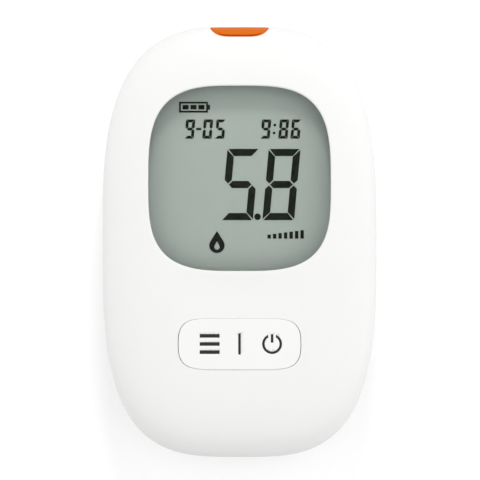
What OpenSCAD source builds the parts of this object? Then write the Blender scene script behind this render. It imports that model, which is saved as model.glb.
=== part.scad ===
// Hand-held blood glucose meter: an egg-shaped case with a deep-set display,
// one rocking key, an orange strip port at the top end and two AAA cells behind.
// It lies on its back: Z points out of the display, Y to the strip end.
// Sizes are in millimetres.

/* [Case] */
// Length of the case, strip end to battery end
case_l = 96; // [94:1:106]
// Width of the case at its widest row
case_w = 61; // [60:1:70]
// How far the widest row lies towards the strip end, from the middle
wide_row = 1.7; // [0:0.1:4]
// Squareness of the outline at the strip end
top_power = 2.97; // [2.9:0.01:3.4]
// Squareness of the outline at the battery end
bottom_power = 3.32; // [3.2:0.01:3.8]
// Height of the seam between the covers
seam_z = 12; // [11.5:0.1:12.3]
// How sharply the front turns down to the seam
front_power = 4; // [3.8:0.1:6]
// Width of the rounded border of the back
back_round = 9; // [7:0.5:9.5]
// Squareness of the rounded border of the back
back_power = 2.2; // [2:0.1:3]
// Wall of the front cover
front_wall = 2; // [1.7:0.1:2.2]
// Wall of the rear cover
rear_wall = 1.8; // [1.6:0.1:2]

/* [Window] */
// Width of the case beside the window
window_side = 10.2; // [10:0.1:12.5]
// Reach of the window above its widest row
window_up = 22; // [20:0.1:22.2]
// Reach of the window below its widest row
window_down = 19.3; // [18:0.1:20]
// Squareness of the window
window_power = 3.35; // [3:0.01:3.5]
// Distance from the strip end of the case to the window
window_gap = 13.3; // [13.2:0.1:15]
// Depth of the window pane below the crown of the case
rim_depth = 0.9; // [0.8:0.05:1.4]
// Thickness of the pane inside the window opening
pane_t = 1.3; // [1:0.05:1.6]
// Thickness of the pane's bonding flange
pane_flange_t = 1.1; // [0.8:0.05:1.4]
// Width of the pane's bonding flange
pane_flange_w = 2; // [1.4:0.1:2.2]
// Gap round the pane in its opening
pane_gap = 0.08; // [0.05:0.01:0.15]

/* [Display] */
// Thickness of the foam gasket
gasket_t = 0.4; // [0.3:0.05:0.8]
// Thickness of each display glass
glass_t = 1.1; // [0.7:0.05:1.3]
// Thickness of the layer with the dark figures
figure_t = 0.1; // [0.05:0.01:0.15]
// Thickness of the reflector sheet
reflector_t = 0.2; // [0.1:0.05:0.4]
// Depth of the display holder below the reflector
holder_depth = 2.5; // [2.2:0.1:3.5]
// Margin of the display beyond the window
display_margin = 1; // [0.8:0.1:1.2]
// Width of the contact ledge of the front glass
ledge_w = 2.6; // [2.4:0.1:3]
// Height of the large figures
big_h = 15.8; // [13:0.1:16.5]
// Width of the large figures
big_w = 7.05; // [6:0.05:7.2]
// Height of the small figures
small_h = 4.24; // [3.6:0.02:4.6]
// Width of the small figures
small_w = 2.05; // [1.7:0.01:2.1]
// Sideways lean of the figures
figure_lean = 0.09; // [0:0.01:0.12]

/* [Key] */
// Length of the key across the case
key_w = 27; // [24:0.1:28]
// Width of the key along the case
key_d = 11.1; // [10:0.1:12]
// Distance from the window to the middle of the key
key_gap = 16.1; // [14.9:0.1:16.4]
// Gap round the key in its opening
key_clear = 0.25; // [0.22:0.01:0.35]
// How far the key stands proud of the crown
key_proud = 0.2; // [0.1:0.05:0.4]
// Tilt of the key each way, degrees
key_tilt = 2.2; // [1.8:0.1:2.3]
// Diameter of the key's pivot pin
pin_d = 1.6; // [1.4:0.1:1.8]
// Radial clearance of the pivot pin
pin_clear = 0.05; // [0.03:0.01:0.08]
// Height of the key legends
legend_h = 4.4; // [3.8:0.1:5]

/* [Strip port] */
// Width of the orange port
port_w = 13.4; // [12:0.1:14]
// How far the port reaches on to the front, seen from above
port_reach = 2.6; // [2.2:0.1:2.8]
// How far the port's face lies below the case
port_sink = 0.25; // [0.2:0.05:0.5]
// Width of the test strip slot
slot_w = 7.2; // [6.5:0.1:7.6]
// Height of the test strip slot
slot_h = 1.3; // [0.9:0.05:1.5]

/* [Board] */
// Thickness of the circuit board
board_t = 1.2; // [0.8:0.1:1.6]
// Clearance between the board and the case wall
board_clear = 1.4; // [1.2:0.1:2]

/* [Battery] */
// Diameter of a cell
cell_d = 10.5; // [10.3:0.1:10.6]
// Length of a cell with its cap
cell_l = 44.5; // [43.5:0.1:44.6]
// Thickness of the bay walls
bay_wall = 1.2; // [1:0.1:1.3]
// Thickness of the bay roof
roof_t = 0.9; // [0.8:0.1:1.2]
// Thickness of the sheet metal contacts
plate_t = 0.3; // [0.2:0.05:0.4]
// Length that a contact spring fills
spring_l = 1.5; // [1.4:0.05:1.8]
// Wire of the contact springs
wire_d = 0.45; // [0.4:0.01:0.5]
// Visible width of the battery cover
door_w = 26; // [24.5:0.1:27]
// Thickness of the battery cover
door_t = 1.5; // [1.3:0.1:1.7]
// How far the battery cover lies above the back face
door_sink = 0.2; // [0.15:0.05:0.3]
// Reach of the battery cover's tongues into the grooves
tongue = 1; // [0.8:0.1:1.2]
// Running gap round the battery cover
door_gap = 0.1; // [0.08:0.01:0.15]
// Height of the battery cover's turned-up end
door_end_h = 6.5; // [5:0.5:7.5]

/* [Screws] */
// Diameter of the case screws
screw_d = 2; // [1.8:0.1:2.2]
// Head of the case screws
screw_head_d = 3.8; // [3.4:0.1:4]
// Outer diameter of the screw towers
tower_d = 5.2; // [5:0.1:5.6]
// Distance of the upper screws from the middle line
upper_screw_x = 14; // [12:0.1:14.5]
// Distance of the upper screws from the strip end
upper_screw_gap = 8.5; // [8:0.1:9]
// Distance of the lower screws from the middle line
lower_screw_x = 19.5; // [19:0.1:20.5]
// Distance of the lower screws from the battery end
lower_screw_gap = 22; // [20:0.5:24]

/* [Hidden] */

outline_points = 72;  // round the case, a multiple of four
front_turns = [0, 6, 14, 24, 35, 46, 57, 68, 78, 86];  // rings of the front, as angles
eps = 0.01;           // overlap of solids that are joined
far = 200;            // longer than anything in the meter

// --- stack from the back face up ---
door_top_z = door_sink + door_t;
cell_gap = 0.3;       // between the battery cover and the cells
case_gap = 0.2;       // between the cover and what it is closed over
board_gap = 0.5;      // between the bay's roof and the board
cell_z = door_top_z + cell_gap + cell_d / 2;
roof_z = cell_z + cell_d / 2 + case_gap;
board_z = roof_z + roof_t + board_gap;
board_top_z = board_z + board_t;
reflector_z = board_top_z + holder_depth;
rear_glass_z = reflector_z + reflector_t;
figure_z = rear_glass_z + glass_t;
front_glass_z = figure_z + figure_t;
gasket_z = front_glass_z + glass_t;
flange_z = gasket_z + gasket_t;
pane_z = flange_z + pane_flange_t;
pane_top_z = pane_z + pane_t;
case_h = pane_top_z + rim_depth;

// --- plan ---
half_w = case_w / 2;
case_up = case_l / 2 - wide_row;
case_down = case_l / 2 + wide_row;
window_half_w = half_w - window_side;
window_y = case_l / 2 - window_gap - window_up;
window_top = window_y + window_up;
window_bottom = window_y - window_down;
display_half_w = window_half_w + display_margin;
display_top = window_top + display_margin - 0.1;
display_bottom = window_bottom - display_margin;
ledge_bottom = display_bottom - ledge_w;
holder_wall = 1;
fit_gap = 0.1;        // between parts that are laid into each other
elastomer_t = 1.8;    // thickness of the elastomer connector
elastomer_end = 2.1;  // from the display's side to the end of that connector

// --- seam ---
lip_inset = 1;        // of the middle of the rabbet, from the outside
lip_h = 1;            // how far the rear cover's lip reaches into the front cover

// --- figures ---
big_t = big_h * 0.1;
small_t = small_h * 0.15;
big_y = window_y - 0.1;
small_y = window_y + 12.2;
big_figures = [[5, 0.15], [8, 9.3]];  // number and middle
small_figures = [[9, -11], [0, -7.05], [5, -4.25], [9, 5.85], [8, 9.8], [6, 12.5]];
point_x = 4;
dash_x = -9.05;
colon_x = 7.75;
cell_symbol_at = [-10.2, small_y + 4.85];
cell_symbol = [6.4, 2.4];
unit_bars_at = [6.2, window_bottom + 7.2];
unit_bars = 7;
drop_at = [-5, window_bottom + 4];
// strokes that each number lights
lit = ["abcdef", "bc", "abdeg", "abcdg", "bcfg", "acdfg", "acdefg", "abc", "abcdefg", "abcdfg"];

// --- key ---
key_y = window_bottom - key_gap;
key_x_power = 6.6;
key_y_power = 2.83;
key_flange = 1;       // overhang of the key's flange under the case
key_flange_t = 1;
key_pocket_z = pane_z + 0.2;
key_rise = (key_w / 2 + key_flange) * sin(key_tilt);
key_flange_top = key_pocket_z - key_rise - 0.12;
key_flange_z = key_flange_top - key_flange_t;
pin_z = key_flange_z + 0.1;
key_top_z = case_h + key_proud;
key_crown_r = 360;    // radius of the key's gentle crown
plunger_x = key_w / 2 - 6.5;
plunger_d = 3.2;
plunger_z = key_flange_z - 1.4;
mat_base = 0.8;
lug_t = 1.6;
lug_w = 4.4;
lug_gap = 0.3;
lug_y = key_d / 2 + key_flange + key_clear + lug_gap;
legend_t = 0.4;       // depth of the legends in the key
legend_bar = 0.55;    // stroke of the thin legends
legend_line = 0.8;    // stroke of the list legend
legend_list_x = 0.4 - plunger_x;  // middle of the list legend
legend_ring_x = plunger_x + 0.2;  // middle of the ring legend
legend_ring_gap = 1.7;    // in the top of the ring
legend_ring_stroke = [0.3, 1.85];  // from the ring's middle to the stroke, and its length

// --- strip port ---
slot_z = board_z - 1.9;
port_power = 4.6;
port_face_y = case_l / 2 - port_sink;
port_back_gap = 4.4;  // from the strip end of the case to the port's back
port_back_y = case_l / 2 - port_back_gap;
port_dish_side = 1.3; // from the port's side to the shallow dish of its face
port_dish = 0.27;     // depth of that dish
port_dish_z = slot_z - 1.6;
port_bottom_z = slot_z - 3;
port_mid_z = slot_z + 1;
port_flange_y = port_back_y + 1.2;
port_flange_w = 1.5;  // of the flange that holds the port behind the case, each side
port_flange_top = port_mid_z + 4.2;
mouth_side = 0.6;     // how much wider the slot's flared mouth is, each side
mouth_depth = 1.6;
mouth_tilt = 35;
mouth_rise = [0.3, 0.9];  // of its lower and its upper side over the slot's
// the front surface lies this high above the port's inner edge
port_edge = pow(1 - port_reach / half_w, front_power);
port_top_z = seam_z + (case_h - seam_z) * pow(1 - port_edge, 1 / front_power);

// --- strip connector ---
connector_l = 10;
connector_y1 = port_back_y - case_gap;
connector_y0 = connector_y1 - connector_l;
connector_side = 2.4; // beside the strip
connector_end = 1.5;  // beyond the strip's tip
connector_floor = 2;  // from the strip's middle down
connector_half = slot_w / 2 + connector_side;
strip_lines = 5;      // contacts that touch the strip
strip_pitch = 1.25;
strip_contact_w = 0.5;
strip_contact_y = [3, 1.8];  // from the connector's two ends to the contacts
strip_contact_t = 0.2;
groove_side = 0.15;   // between a contact and its groove
groove_end = [2, 1.3];  // from the connector's two ends to the grooves
groove_roof = 0.3;    // over the contacts

// --- battery bay ---
cell_x = cell_d / 2 + 0.25;
bay_half_w = cell_x + cell_d / 2 + 0.35;
bay_l = cell_l + spring_l + 2 * plate_t;
bay_end_gap = 7.6;    // from the battery end of the case to the bay
bay_y0 = bay_end_gap - case_l / 2;
bay_y1 = bay_y0 + bay_l;
door_top_y = bay_y1 + bay_wall + 0.6;
door_corner_r = 6;
tongue_t = 0.65;
lip_t = door_top_z - tongue_t - door_gap;
shelf_t = 1.2;
shelf_z = door_top_z + 2 * door_gap;
groove_half_w = door_w / 2 + tongue + door_gap;
plate_half = 3.6;     // half the size of a cell's contact plate
tab_half = 1;         // half the width of the tab up to the board
cap_h = 1.1;          // a cell's cap
cap_d = 3.8;
grip_y = door_top_y - 12;
grip_lines = 5;

// --- back label and sound holes ---
label_w = 30;
label_h = 15;
label_sink = 0.25;
label_t = 0.15;
label_y0 = door_top_y + 3;
buzzer_d = 9;
buzzer_h = 4;
buzzer_side = 12;     // from the widest part of the case to the buzzer's middle
sound_hole_d = 1.2;
sound_pitch = 2.4;

// --- what hangs under the board, about the middle of the free space ---
parts_y = (bay_y1 + bay_wall + connector_y0) / 2;
buzzer_at = [half_w - buzzer_side, parts_y - 1.9];
microcontroller_at = [-12, parts_y + 3.6];
microcontroller_size = [10, 10, 1.5];
amplifier_at = [2.5, parts_y + 5.6];
amplifier_size = [4.4, 5, 1.2];
memory_at = [1, parts_y - 5.4];
memory_size = [5, 4, 1.3];
crystal_at = [-12, parts_y - 5.9];
crystal_size = [6, 2.8, 1.1];
// x, place of the first from the middle, how many
passive_rows = [[-2.5, 2.6, 3], [7, 4.6, 2], [7, -6.4, 1], [-4.5, -8.4, 2], [-19, -4.4, 2]];
passive_size = [1.8, 1, 0.6];
passive_pitch = 2.2;

// --- screws ---
upper_screw_y = case_l / 2 - upper_screw_gap;
lower_screw_y = lower_screw_gap - case_l / 2;
case_screws_at = [[upper_screw_x, upper_screw_y], [-upper_screw_x, upper_screw_y],
                  [lower_screw_x, lower_screw_y], [-lower_screw_x, lower_screw_y]];
screw_seat_z = 4;
screw_head_t = 1.3;
screw_l = 13;
screw_bite = 0.04;    // a screw's hole is this much wider than the screw
post_side = 2.2;      // from the display holder to the board screws
post_rows = [-14.7, 9.3];  // of board screws, from the window's widest row
board_screw_x = display_half_w + holder_wall + post_side;
board_screws_at = [for (s = [-1, 1], y = post_rows) [s * board_screw_x, window_y + y]];
board_screw_d = 1.6;
board_screw_head_d = 3;
board_screw_head_t = 1;
board_screw_l = 4;    // above the board
post_d = 3.4;

// Points of an oval made of two superellipse halves that meet on its widest row.
// powers is [[x, y] of the upper half, [x, y] of the lower half].
function oval(half, up, down, powers, count = outline_points) = [
  for (k = [0 : count - 1])
    let (t = 360 * k / count, c = cos(t), s = sin(t))
    let (p = s >= 0 ? powers[0] : powers[1], reach = s >= 0 ? up : down)
      [half * sign(c) * pow(abs(c), 2 / p[0]), reach * sign(s) * pow(abs(s), 2 / p[1])]
];

// The outline of the case, drawn in by inset, on its widest row
function case_outline(inset) =
  oval(half_w - inset, case_up - inset, case_down - inset,
       [[top_power, top_power], [bottom_power, bottom_power]]);

function raise(outline, z) = [for (p = outline) [p[0], p[1] + wide_row, z]];

// Rings of the case drawn in by skin: the back, from the middle out to the seam
function back_rings(skin, steps, top) = [
  for (k = [steps : -1 : 0])
    let (s = 90 * k / steps)
      raise(case_outline(skin + back_round * (1 - pow(cos(s), 2 / back_power))),
            top - (top - skin) * pow(sin(s), 2 / back_power))
];

// Rings of the case drawn in by skin: the front, from the seam up to the crown
function front_rings(skin, every = 1) = [
  for (k = [0 : every : len(front_turns) - 1])
    let (s = front_turns[k])
      raise(case_outline(skin + (half_w - skin) * (1 - pow(cos(s), 2 / front_power))),
            seam_z + (case_h - skin - seam_z) * pow(sin(s), 2 / front_power))
];

// A closed solid through rings of equal count, lowest first
module loft(rings) {
  n = len(rings[0]);
  m = len(rings);
  sides = [for (j = [0 : m - 2], k = [0 : n - 1])
             let (a = j * n + k, b = j * n + (k + 1) % n)
               each [[a, a + n, b], [b, a + n, b + n]]];
  bottom = [for (k = [0 : n - 1]) k];
  top = [for (k = [n - 1 : -1 : 0]) (m - 1) * n + k];
  polyhedron([for (r = rings) each r], concat([bottom], sides, [top]));
}

// A band that follows the case outline between two insets and two heights
module outline_band(outer, inner, z0, z1) {
  translate([0, wide_row, z0]) linear_extrude(z1 - z0) difference() {
    polygon(case_outline(outer));
    polygon(case_outline(inner));
  }
}

// A block between two corners
module block(low, high) {
  translate(low) cube(high - low);
}

// A block that is centred on the middle line
module mid_block(half, y0, y1, z0, z1) {
  block([-half, y0, z0], [half, y1, z1]);
}

// A block over the whole display with its ledge, grown by some margin
module display_block(grow, z0, z1) {
  mid_block(display_half_w + grow, ledge_bottom - grow, display_top + grow, z0, z1);
}

// The elastomer connector's block, in the middle of the contact ledge
module elastomer_block(grow, z0, z1) {
  y0 = ledge_bottom + (ledge_w - elastomer_t) / 2;
  mid_block(display_half_w - elastomer_end + grow, y0 - grow, y0 + elastomer_t + grow, z0, z1);
}

// A plate with the window's outline, grown by some margin
module window_plate(grow, z0, z1) {
  translate([0, window_y, z0]) linear_extrude(z1 - z0)
    polygon(oval(window_half_w + grow, window_up + grow, window_down + grow,
                 [[window_power, window_power], [window_power, window_power]]));
}

// A plate with the key's outline, grown by some margin
module key_plate(grow, z0, z1) {
  translate([0, key_y, z0]) linear_extrude(z1 - z0)
    polygon(oval(key_w / 2 + grow, key_d / 2 + grow, key_d / 2 + grow,
                 [[key_x_power, key_y_power], [key_x_power, key_y_power]], 64));
}

// Points of the port's arch, seen along Y
function arch(grow) = concat(
  [[port_w / 2 + grow, port_bottom_z - grow]],
  [for (k = [0 : 16])
     let (t = 180 * k / 16, c = cos(t))
       [(port_w / 2 + grow) * sign(c) * pow(abs(c), 2 / port_power),
        port_mid_z + (port_top_z - port_mid_z + grow) * pow(sin(t), 2 / port_power)]],
  [[-port_w / 2 - grow, port_bottom_z - grow]]);

module port_prism(grow, y0, y1) {
  translate([0, y1, 0]) rotate([90, 0, 0]) linear_extrude(y1 - y0) polygon(arch(grow));
}

// Room for the port's flange, and the board's notch behind it
module port_pocket(z0, z1) {
  mid_block(port_w / 2 + port_flange_w + case_gap, connector_y1, port_flange_y + fit_gap, z0, z1);
}

// Outline of the battery cover from above: straight sides and a rounded upper end
function door_outline(half, top, r) = concat(
  [[half, -far], [half, top - r]],
  [for (k = [1 : 8]) [half - r + r * cos(k * 90 / 8), top - r + r * sin(k * 90 / 8)]],
  [for (k = [0 : 7]) [r - half - r * sin(k * 90 / 8), top - r + r * cos(k * 90 / 8)]],
  [[-half, top - r], [-half, -far]]);

module door_prism(grow, z0, z1) {
  translate([0, 0, z0]) linear_extrude(z1 - z0)
    polygon(door_outline(door_w / 2 + grow, door_top_y + grow, door_corner_r + grow));
}

module at(places) {
  for (p = places) translate([p[0], p[1], 0]) children();
}

// An upright round bar between two heights
module bar(d, z0, z1) {
  translate([0, 0, z0]) cylinder(d = d, h = z1 - z0, $fn = 48);
}

module front_cover() {
  color("white") difference() {
    loft(front_rings(0));
    difference() {
      loft(concat([raise(case_outline(front_wall), seam_z - 1)], front_rings(front_wall, 2)));
      front_inside();
    }
    // seam rabbet over the rear cover's lip
    outline_band(lip_inset - fit_gap / 2, front_wall + 0.5, seam_z - 1, seam_z + lip_h + fit_gap);
    window_plate(0, seam_z, case_h + 1);
    window_plate(pane_flange_w + case_gap, gasket_z, pane_z);
    display_block(case_gap, figure_z, gasket_z + case_gap);
    display_block(holder_wall + case_gap, board_z, figure_z + case_gap);
    key_plate(key_clear, seam_z, case_h + 1);
    key_plate(key_flange + key_clear, seam_z + 1.5, key_pocket_z);
    translate([0, key_y, pin_z]) rotate([90, 0, 0])
      cylinder(d = pin_d + 2 * pin_clear, h = 2 * (lug_y + lug_t) + 1, center = true, $fn = 48);
    mid_block(pin_d * 0.36, key_y - lug_y - lug_t - 0.5, key_y + lug_y + lug_t + 0.5, seam_z, pin_z);
    port_prism(fit_gap / 2, port_flange_y, far);
    port_pocket(seam_z - 1, port_flange_top + case_gap);
    at(case_screws_at) bar(screw_d + screw_bite, seam_z - 1, screw_seat_z + screw_l + 2);
    at(board_screws_at) bar(board_screw_d + screw_bite, board_z, board_top_z + board_screw_l + case_gap);
  }
}

// Towers and lugs that hang from the front wall; the wall cuts them off
module front_inside() {
  at(case_screws_at) bar(tower_d, seam_z + eps, far);
  at(board_screws_at) bar(post_d, board_top_z, far);
  for (s = [-1, 1]) {
    y = key_y + s * (lug_y + lug_t / 2);
    block([-lug_w / 2, y - lug_t / 2, pin_z - 1.6], [lug_w / 2, y + lug_t / 2, far]);
  }
}

module rear_cover() {
  color("white") difference() {
    union() {
      difference() {
        loft(back_rings(0, 7, seam_z));
        difference() {
          loft(concat(back_rings(rear_wall, 5, seam_z), [raise(case_outline(rear_wall), seam_z + 1)]));
          rear_inside();
        }
      }
      outline_band(lip_inset + fit_gap / 2, rear_wall, seam_z - 1, seam_z + lip_h);
      mid_block(bay_half_w + bay_wall, bay_y0 - bay_wall, bay_y1 + bay_wall, seam_z - 1, roof_z + roof_t);
    }
    mid_block(bay_half_w, bay_y0, bay_y1, door_top_z, roof_z);
    door_prism(door_gap, -1, lip_t + door_gap);
    door_prism(tongue + door_gap, lip_t, shelf_z);
    // room for the turned-up end of the battery cover
    mid_block(door_w / 2 + door_gap, -far, bay_y0 - bay_wall, lip_t, door_end_h + door_gap);
    port_prism(fit_gap / 2, port_flange_y, far);
    port_pocket(port_bottom_z - 1 - fit_gap, seam_z + 2);
    at(case_screws_at) {
      bar(screw_head_d + 0.5, -1, screw_seat_z);
      bar(screw_d + 0.3, -1, seam_z + 1);
    }
    // slots in the roof for the contact tabs
    for (s = [-1, 1])
      block([s * cell_x - tab_half - 0.3, bay_y1 - plate_t - fit_gap, roof_z - 1],
            [s * cell_x + tab_half + 0.3, bay_y1, board_z]);
    // label recess and sound holes
    mid_block(label_w / 2 + fit_gap, label_y0 - fit_gap, label_y0 + label_h + fit_gap, -1, label_sink);
    for (k = [-1 : 1])
      translate([buzzer_at[0], buzzer_at[1] + k * sound_pitch, 0]) bar(sound_hole_d, -1, rear_wall + 1);
  }
}

// Walls, shelves and towers that stand in the rear cover; its wall cuts them off
module rear_inside() {
  at(case_screws_at) bar(tower_d + 0.4, -1, seam_z - 0.1);
  mid_block(bay_half_w + bay_wall, bay_y0 - bay_wall, bay_y1 + bay_wall, -1, seam_z + 1);
  // shelf over the grooves, and its outer walls
  door_prism(tongue + door_gap + bay_wall, -1, shelf_z + shelf_t);
  // housing of the turned-up end
  mid_block(groove_half_w + bay_wall, -far, bay_y0 - bay_wall + eps, -1, door_end_h + door_gap + bay_wall);
}

module battery_cover() {
  color("white") difference() {
    intersection() {
      loft(back_rings(door_sink, 7, seam_z));
      union() {
        door_prism(0, -1, lip_t);
        door_prism(tongue, lip_t + door_gap, door_top_z);
        door_prism(0, lip_t - eps, lip_t + door_gap + eps);
        mid_block(door_w / 2, -far, bay_y0 - bay_wall - 0.4, lip_t + door_gap, door_end_h);
      }
    }
    // hollow of the turned-up end
    intersection() {
      loft(back_rings(door_sink + door_t, 5, seam_z));
      mid_block(door_w / 2 + tongue + 1, -far, far, door_top_z, seam_z - 1);
    }
    // thumb grip
    for (k = [0 : grip_lines - 1])
      mid_block(5 - 0.55 * k, grip_y - 1.5 * k, grip_y - 1.5 * k + 0.7, -1, door_sink + 0.4);
  }
}

module display_window() {
  color("azure", 0.35) {
    window_plate(-pane_gap, pane_z - eps, pane_top_z);
    window_plate(pane_flange_w, flange_z, pane_z);
  }
}

module window_gasket() {
  color("dimgray") difference() {
    window_plate(0.9, gasket_z, flange_z);
    window_plate(0.2, gasket_z - 1, flange_z + 1);
  }
}

module display_front_glass() {
  color("lightgray", 0.3) display_block(0, front_glass_z, gasket_z);
}

module display_rear_glass() {
  color("lightgray", 0.3) mid_block(display_half_w, display_bottom, display_top, rear_glass_z, figure_z);
}

module display_reflector() {
  color([0.63, 0.68, 0.65])
    mid_block(display_half_w, display_bottom, display_top, reflector_z, rear_glass_z);
}

// One stroke of a seven-stroke figure as a polygon; names a to g run from the top clockwise.
// The figure is centred on its middle, and t is the stroke's width.
function stroke(name, w, h, t, gap) =
  let (x = w / 2, y = h / 2, g = gap * 0.7, m = t / 2)
  name == "a" ? [[-x + g, y], [x - g, y], [x - t, y - t], [-x + t, y - t]] :
  name == "d" ? [[-x + t, t - y], [x - t, t - y], [x - g, -y], [-x + g, -y]] :
  name == "g" ? [[-x + m + g, 0], [-x + t + g, m], [x - t - g, m], [x - m - g, 0],
                 [x - t - g, -m], [-x + t + g, -m]] :
  name == "b" ? [[x, y - g], [x - t, y - t - g], [x - t, m + g], [x - m, g], [x, m + g]] :
  name == "f" ? [[-x, y - g], [-x, m + g], [-x + m, g], [-x + t, m + g], [-x + t, y - t - g]] :
  name == "c" ? [[x, g - y], [x, -m - g], [x - m, -g], [x - t, -m - g], [x - t, t + g - y]] :
                [[-x, g - y], [-x + t, t + g - y], [-x + t, -m - g], [-x + m, -g], [-x, -m - g]];

function lean(points) = [for (p = points) [p[0] + figure_lean * p[1], p[1]]];

module figure(number, w, h, t, gap) {
  for (name = lit[number]) polygon(lean(stroke(name, w, h, t, gap)));
}

// A drop with a point at the top, standing on its lowest point
module drop(w, h) {
  r = w / 2;
  side = acos(r / (h - r));   // where the straight flanks leave the round belly
  polygon(concat([[0, h]], [for (k = [0 : 24])
    let (t = 90 - side - k * (360 - 2 * side) / 24) [r * cos(t), r + r * sin(t)]]));
}

// A cell symbol: frame, cap and three bars of charge
module cell_symbol() {
  difference() {
    square(cell_symbol, center = true);
    square(cell_symbol - [0.8, 0.8], center = true);
  }
  translate([cell_symbol[0] / 2 + 0.2, 0]) square([0.5, 1.1], center = true);
  for (k = [-1 : 1]) translate([k * 1.75, 0]) square([1.35, 1], center = true);
}

module drop_symbol() {
  difference() {
    drop(3.4, 4.9);
    translate([0, 0.75]) drop(1.2, 1.9);
  }
}

module display_figures() {
  color([0.12, 0.13, 0.12]) translate([0, 0, figure_z]) linear_extrude(figure_t) {
    for (f = big_figures) translate([f[1], big_y]) figure(f[0], big_w, big_h, big_t, 0.3);
    translate([point_x, big_y - big_h / 2 + 0.75]) circle(d = 1.45, $fn = 24);
    for (f = small_figures) translate([f[1], small_y]) figure(f[0], small_w, small_h, small_t, 0.1);
    translate([dash_x, small_y]) square([1.1, small_t * 0.8], center = true);
    for (s = [-1, 1]) translate([colon_x + s * 0.08, small_y + s * 0.88]) circle(d = 0.6, $fn = 16);
    translate(cell_symbol_at) cell_symbol();
    // a row of growing bars beside the drop
    for (k = [0 : unit_bars - 1])
      translate(unit_bars_at + [k * 1.22, 0]) square([0.75, 0.9 + 0.16 * k]);
    translate(drop_at) drop_symbol();
  }
}

module display_holder() {
  color("gainsboro") difference() {
    display_block(holder_wall, board_top_z, figure_z);
    mid_block(display_half_w + fit_gap, display_bottom - fit_gap, display_top + fit_gap, reflector_z, far);
    mid_block(display_half_w - 1.5, display_bottom + 1.5, display_top - 1.5,
              board_top_z - 1, reflector_z - 0.8);
    elastomer_block(fit_gap, board_top_z - 1, far);
  }
}

module elastomer_connector() {
  color("silver") elastomer_block(0, board_top_z, front_glass_z);
}

// All that lies below the key's gently crowned face, which is bent about Y
module key_crown() {
  half = key_w / 2 + 1;
  arc = [for (k = [0 : 16])
           let (x = half * (1 - k / 8))
             [x, key_top_z - key_crown_r + sqrt(pow(key_crown_r, 2) - x * x)]];
  translate([0, key_y + key_d, 0]) rotate([90, 0, 0]) linear_extrude(2 * key_d)
    polygon(concat([[half, 0]], arc, [[-half, 0]]));
}

// The legends from above: a list, a divider bar and a ring with a stroke at its top
module legend_plan() {
  for (k = [-1 : 1])
    translate([legend_list_x, k * (legend_h - legend_line) / 2])
      square([legend_h, legend_line], center = true);
  square([legend_bar, legend_h * 1.06], center = true);
  translate([legend_ring_x, 0]) {
    difference() {
      circle(d = legend_h, $fn = 48);
      circle(d = legend_h - 2 * legend_bar, $fn = 48);
      translate([-legend_ring_gap / 2, 0]) square([legend_ring_gap, legend_h]);
    }
    translate([-legend_bar / 2, legend_ring_stroke[0]]) square([legend_bar, legend_ring_stroke[1]]);
  }
}

module legend_prism() {
  translate([0, key_y, key_top_z - legend_t - 0.3]) linear_extrude(legend_t + 1) legend_plan();
}

module key_cap() {
  color("white") union() {
    difference() {
      intersection() {
        key_plate(0, key_flange_top - eps, key_top_z + 1);
        key_crown();
      }
      legend_prism();
    }
    key_plate(key_flange, key_flange_z, key_flange_top);
    for (s = [-1, 1]) translate([s * plunger_x, key_y, 0]) bar(plunger_d, plunger_z, key_flange_z + eps);
    mid_block(pin_d * 0.4, key_y - key_d / 2, key_y + key_d / 2, pin_z, key_flange_z + 0.2);
    translate([0, key_y, pin_z]) rotate([90, 0, 0])
      cylinder(d = pin_d, h = 2 * (lug_y + lug_t - 0.1), center = true, $fn = 48);
  }
}

module key_legends() {
  color("dimgray") intersection() {
    legend_prism();
    key_crown();
  }
}

module key_mat() {
  dome_h = plunger_z - fit_gap - board_top_z - mat_base;
  color("silver") translate([0, key_y, board_top_z]) {
    mid_block(key_w / 2 - 1.5, -key_d / 2, key_d / 2, 0, mat_base);
    for (s = [-1, 1]) translate([s * plunger_x, 0, mat_base - eps])
      cylinder(r1 = 3.4, r2 = 1.9, h = dome_h, $fn = 48);
  }
}

module strip_port() {
  front = front_rings(port_sink);
  skin = concat(back_rings(port_sink, 5, seam_z), [for (k = [1 : len(front) - 2]) front[k]]);
  color([0.94, 0.45, 0.13]) difference() {
    union() {
      intersection() {
        loft(skin);
        port_prism(0, port_flange_y, port_face_y);
      }
      mid_block(port_w / 2 + port_flange_w, port_back_y, port_flange_y + eps,
                port_bottom_z - 1, port_flange_top);
    }
    mid_block(slot_w / 2, port_back_y - 1, far, slot_z - slot_h / 2, slot_z + slot_h / 2);
    mid_block(port_w / 2 - port_dish_side, port_face_y - port_dish, far, port_dish_z, far);
    // flared mouth that guides the strip in
    translate([0, port_face_y, slot_z]) rotate([mouth_tilt, 0, 0])
      mid_block(slot_w / 2 + mouth_side, -mouth_depth, 4,
                mouth_rise[0] - slot_h / 2, mouth_rise[1] + slot_h / 2);
  }
}

// Places of the strip's contacts across the connector
function strip_line(k) = (k - (strip_lines - 1) / 2) * strip_pitch;

module strip_connector() {
  color([0.15, 0.15, 0.15]) difference() {
    mid_block(connector_half, connector_y0, connector_y1, slot_z - connector_floor, board_z);
    mid_block(slot_w / 2, connector_y0 + connector_end, far, slot_z - slot_h / 2, slot_z + slot_h / 2);
    for (k = [0 : strip_lines - 1])
      translate([strip_line(k), 0, 0])
        mid_block(strip_contact_w / 2 + groove_side, connector_y0 + groove_end[0],
                  connector_y1 - groove_end[1], slot_z, board_z - groove_roof);
  }
}

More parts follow.
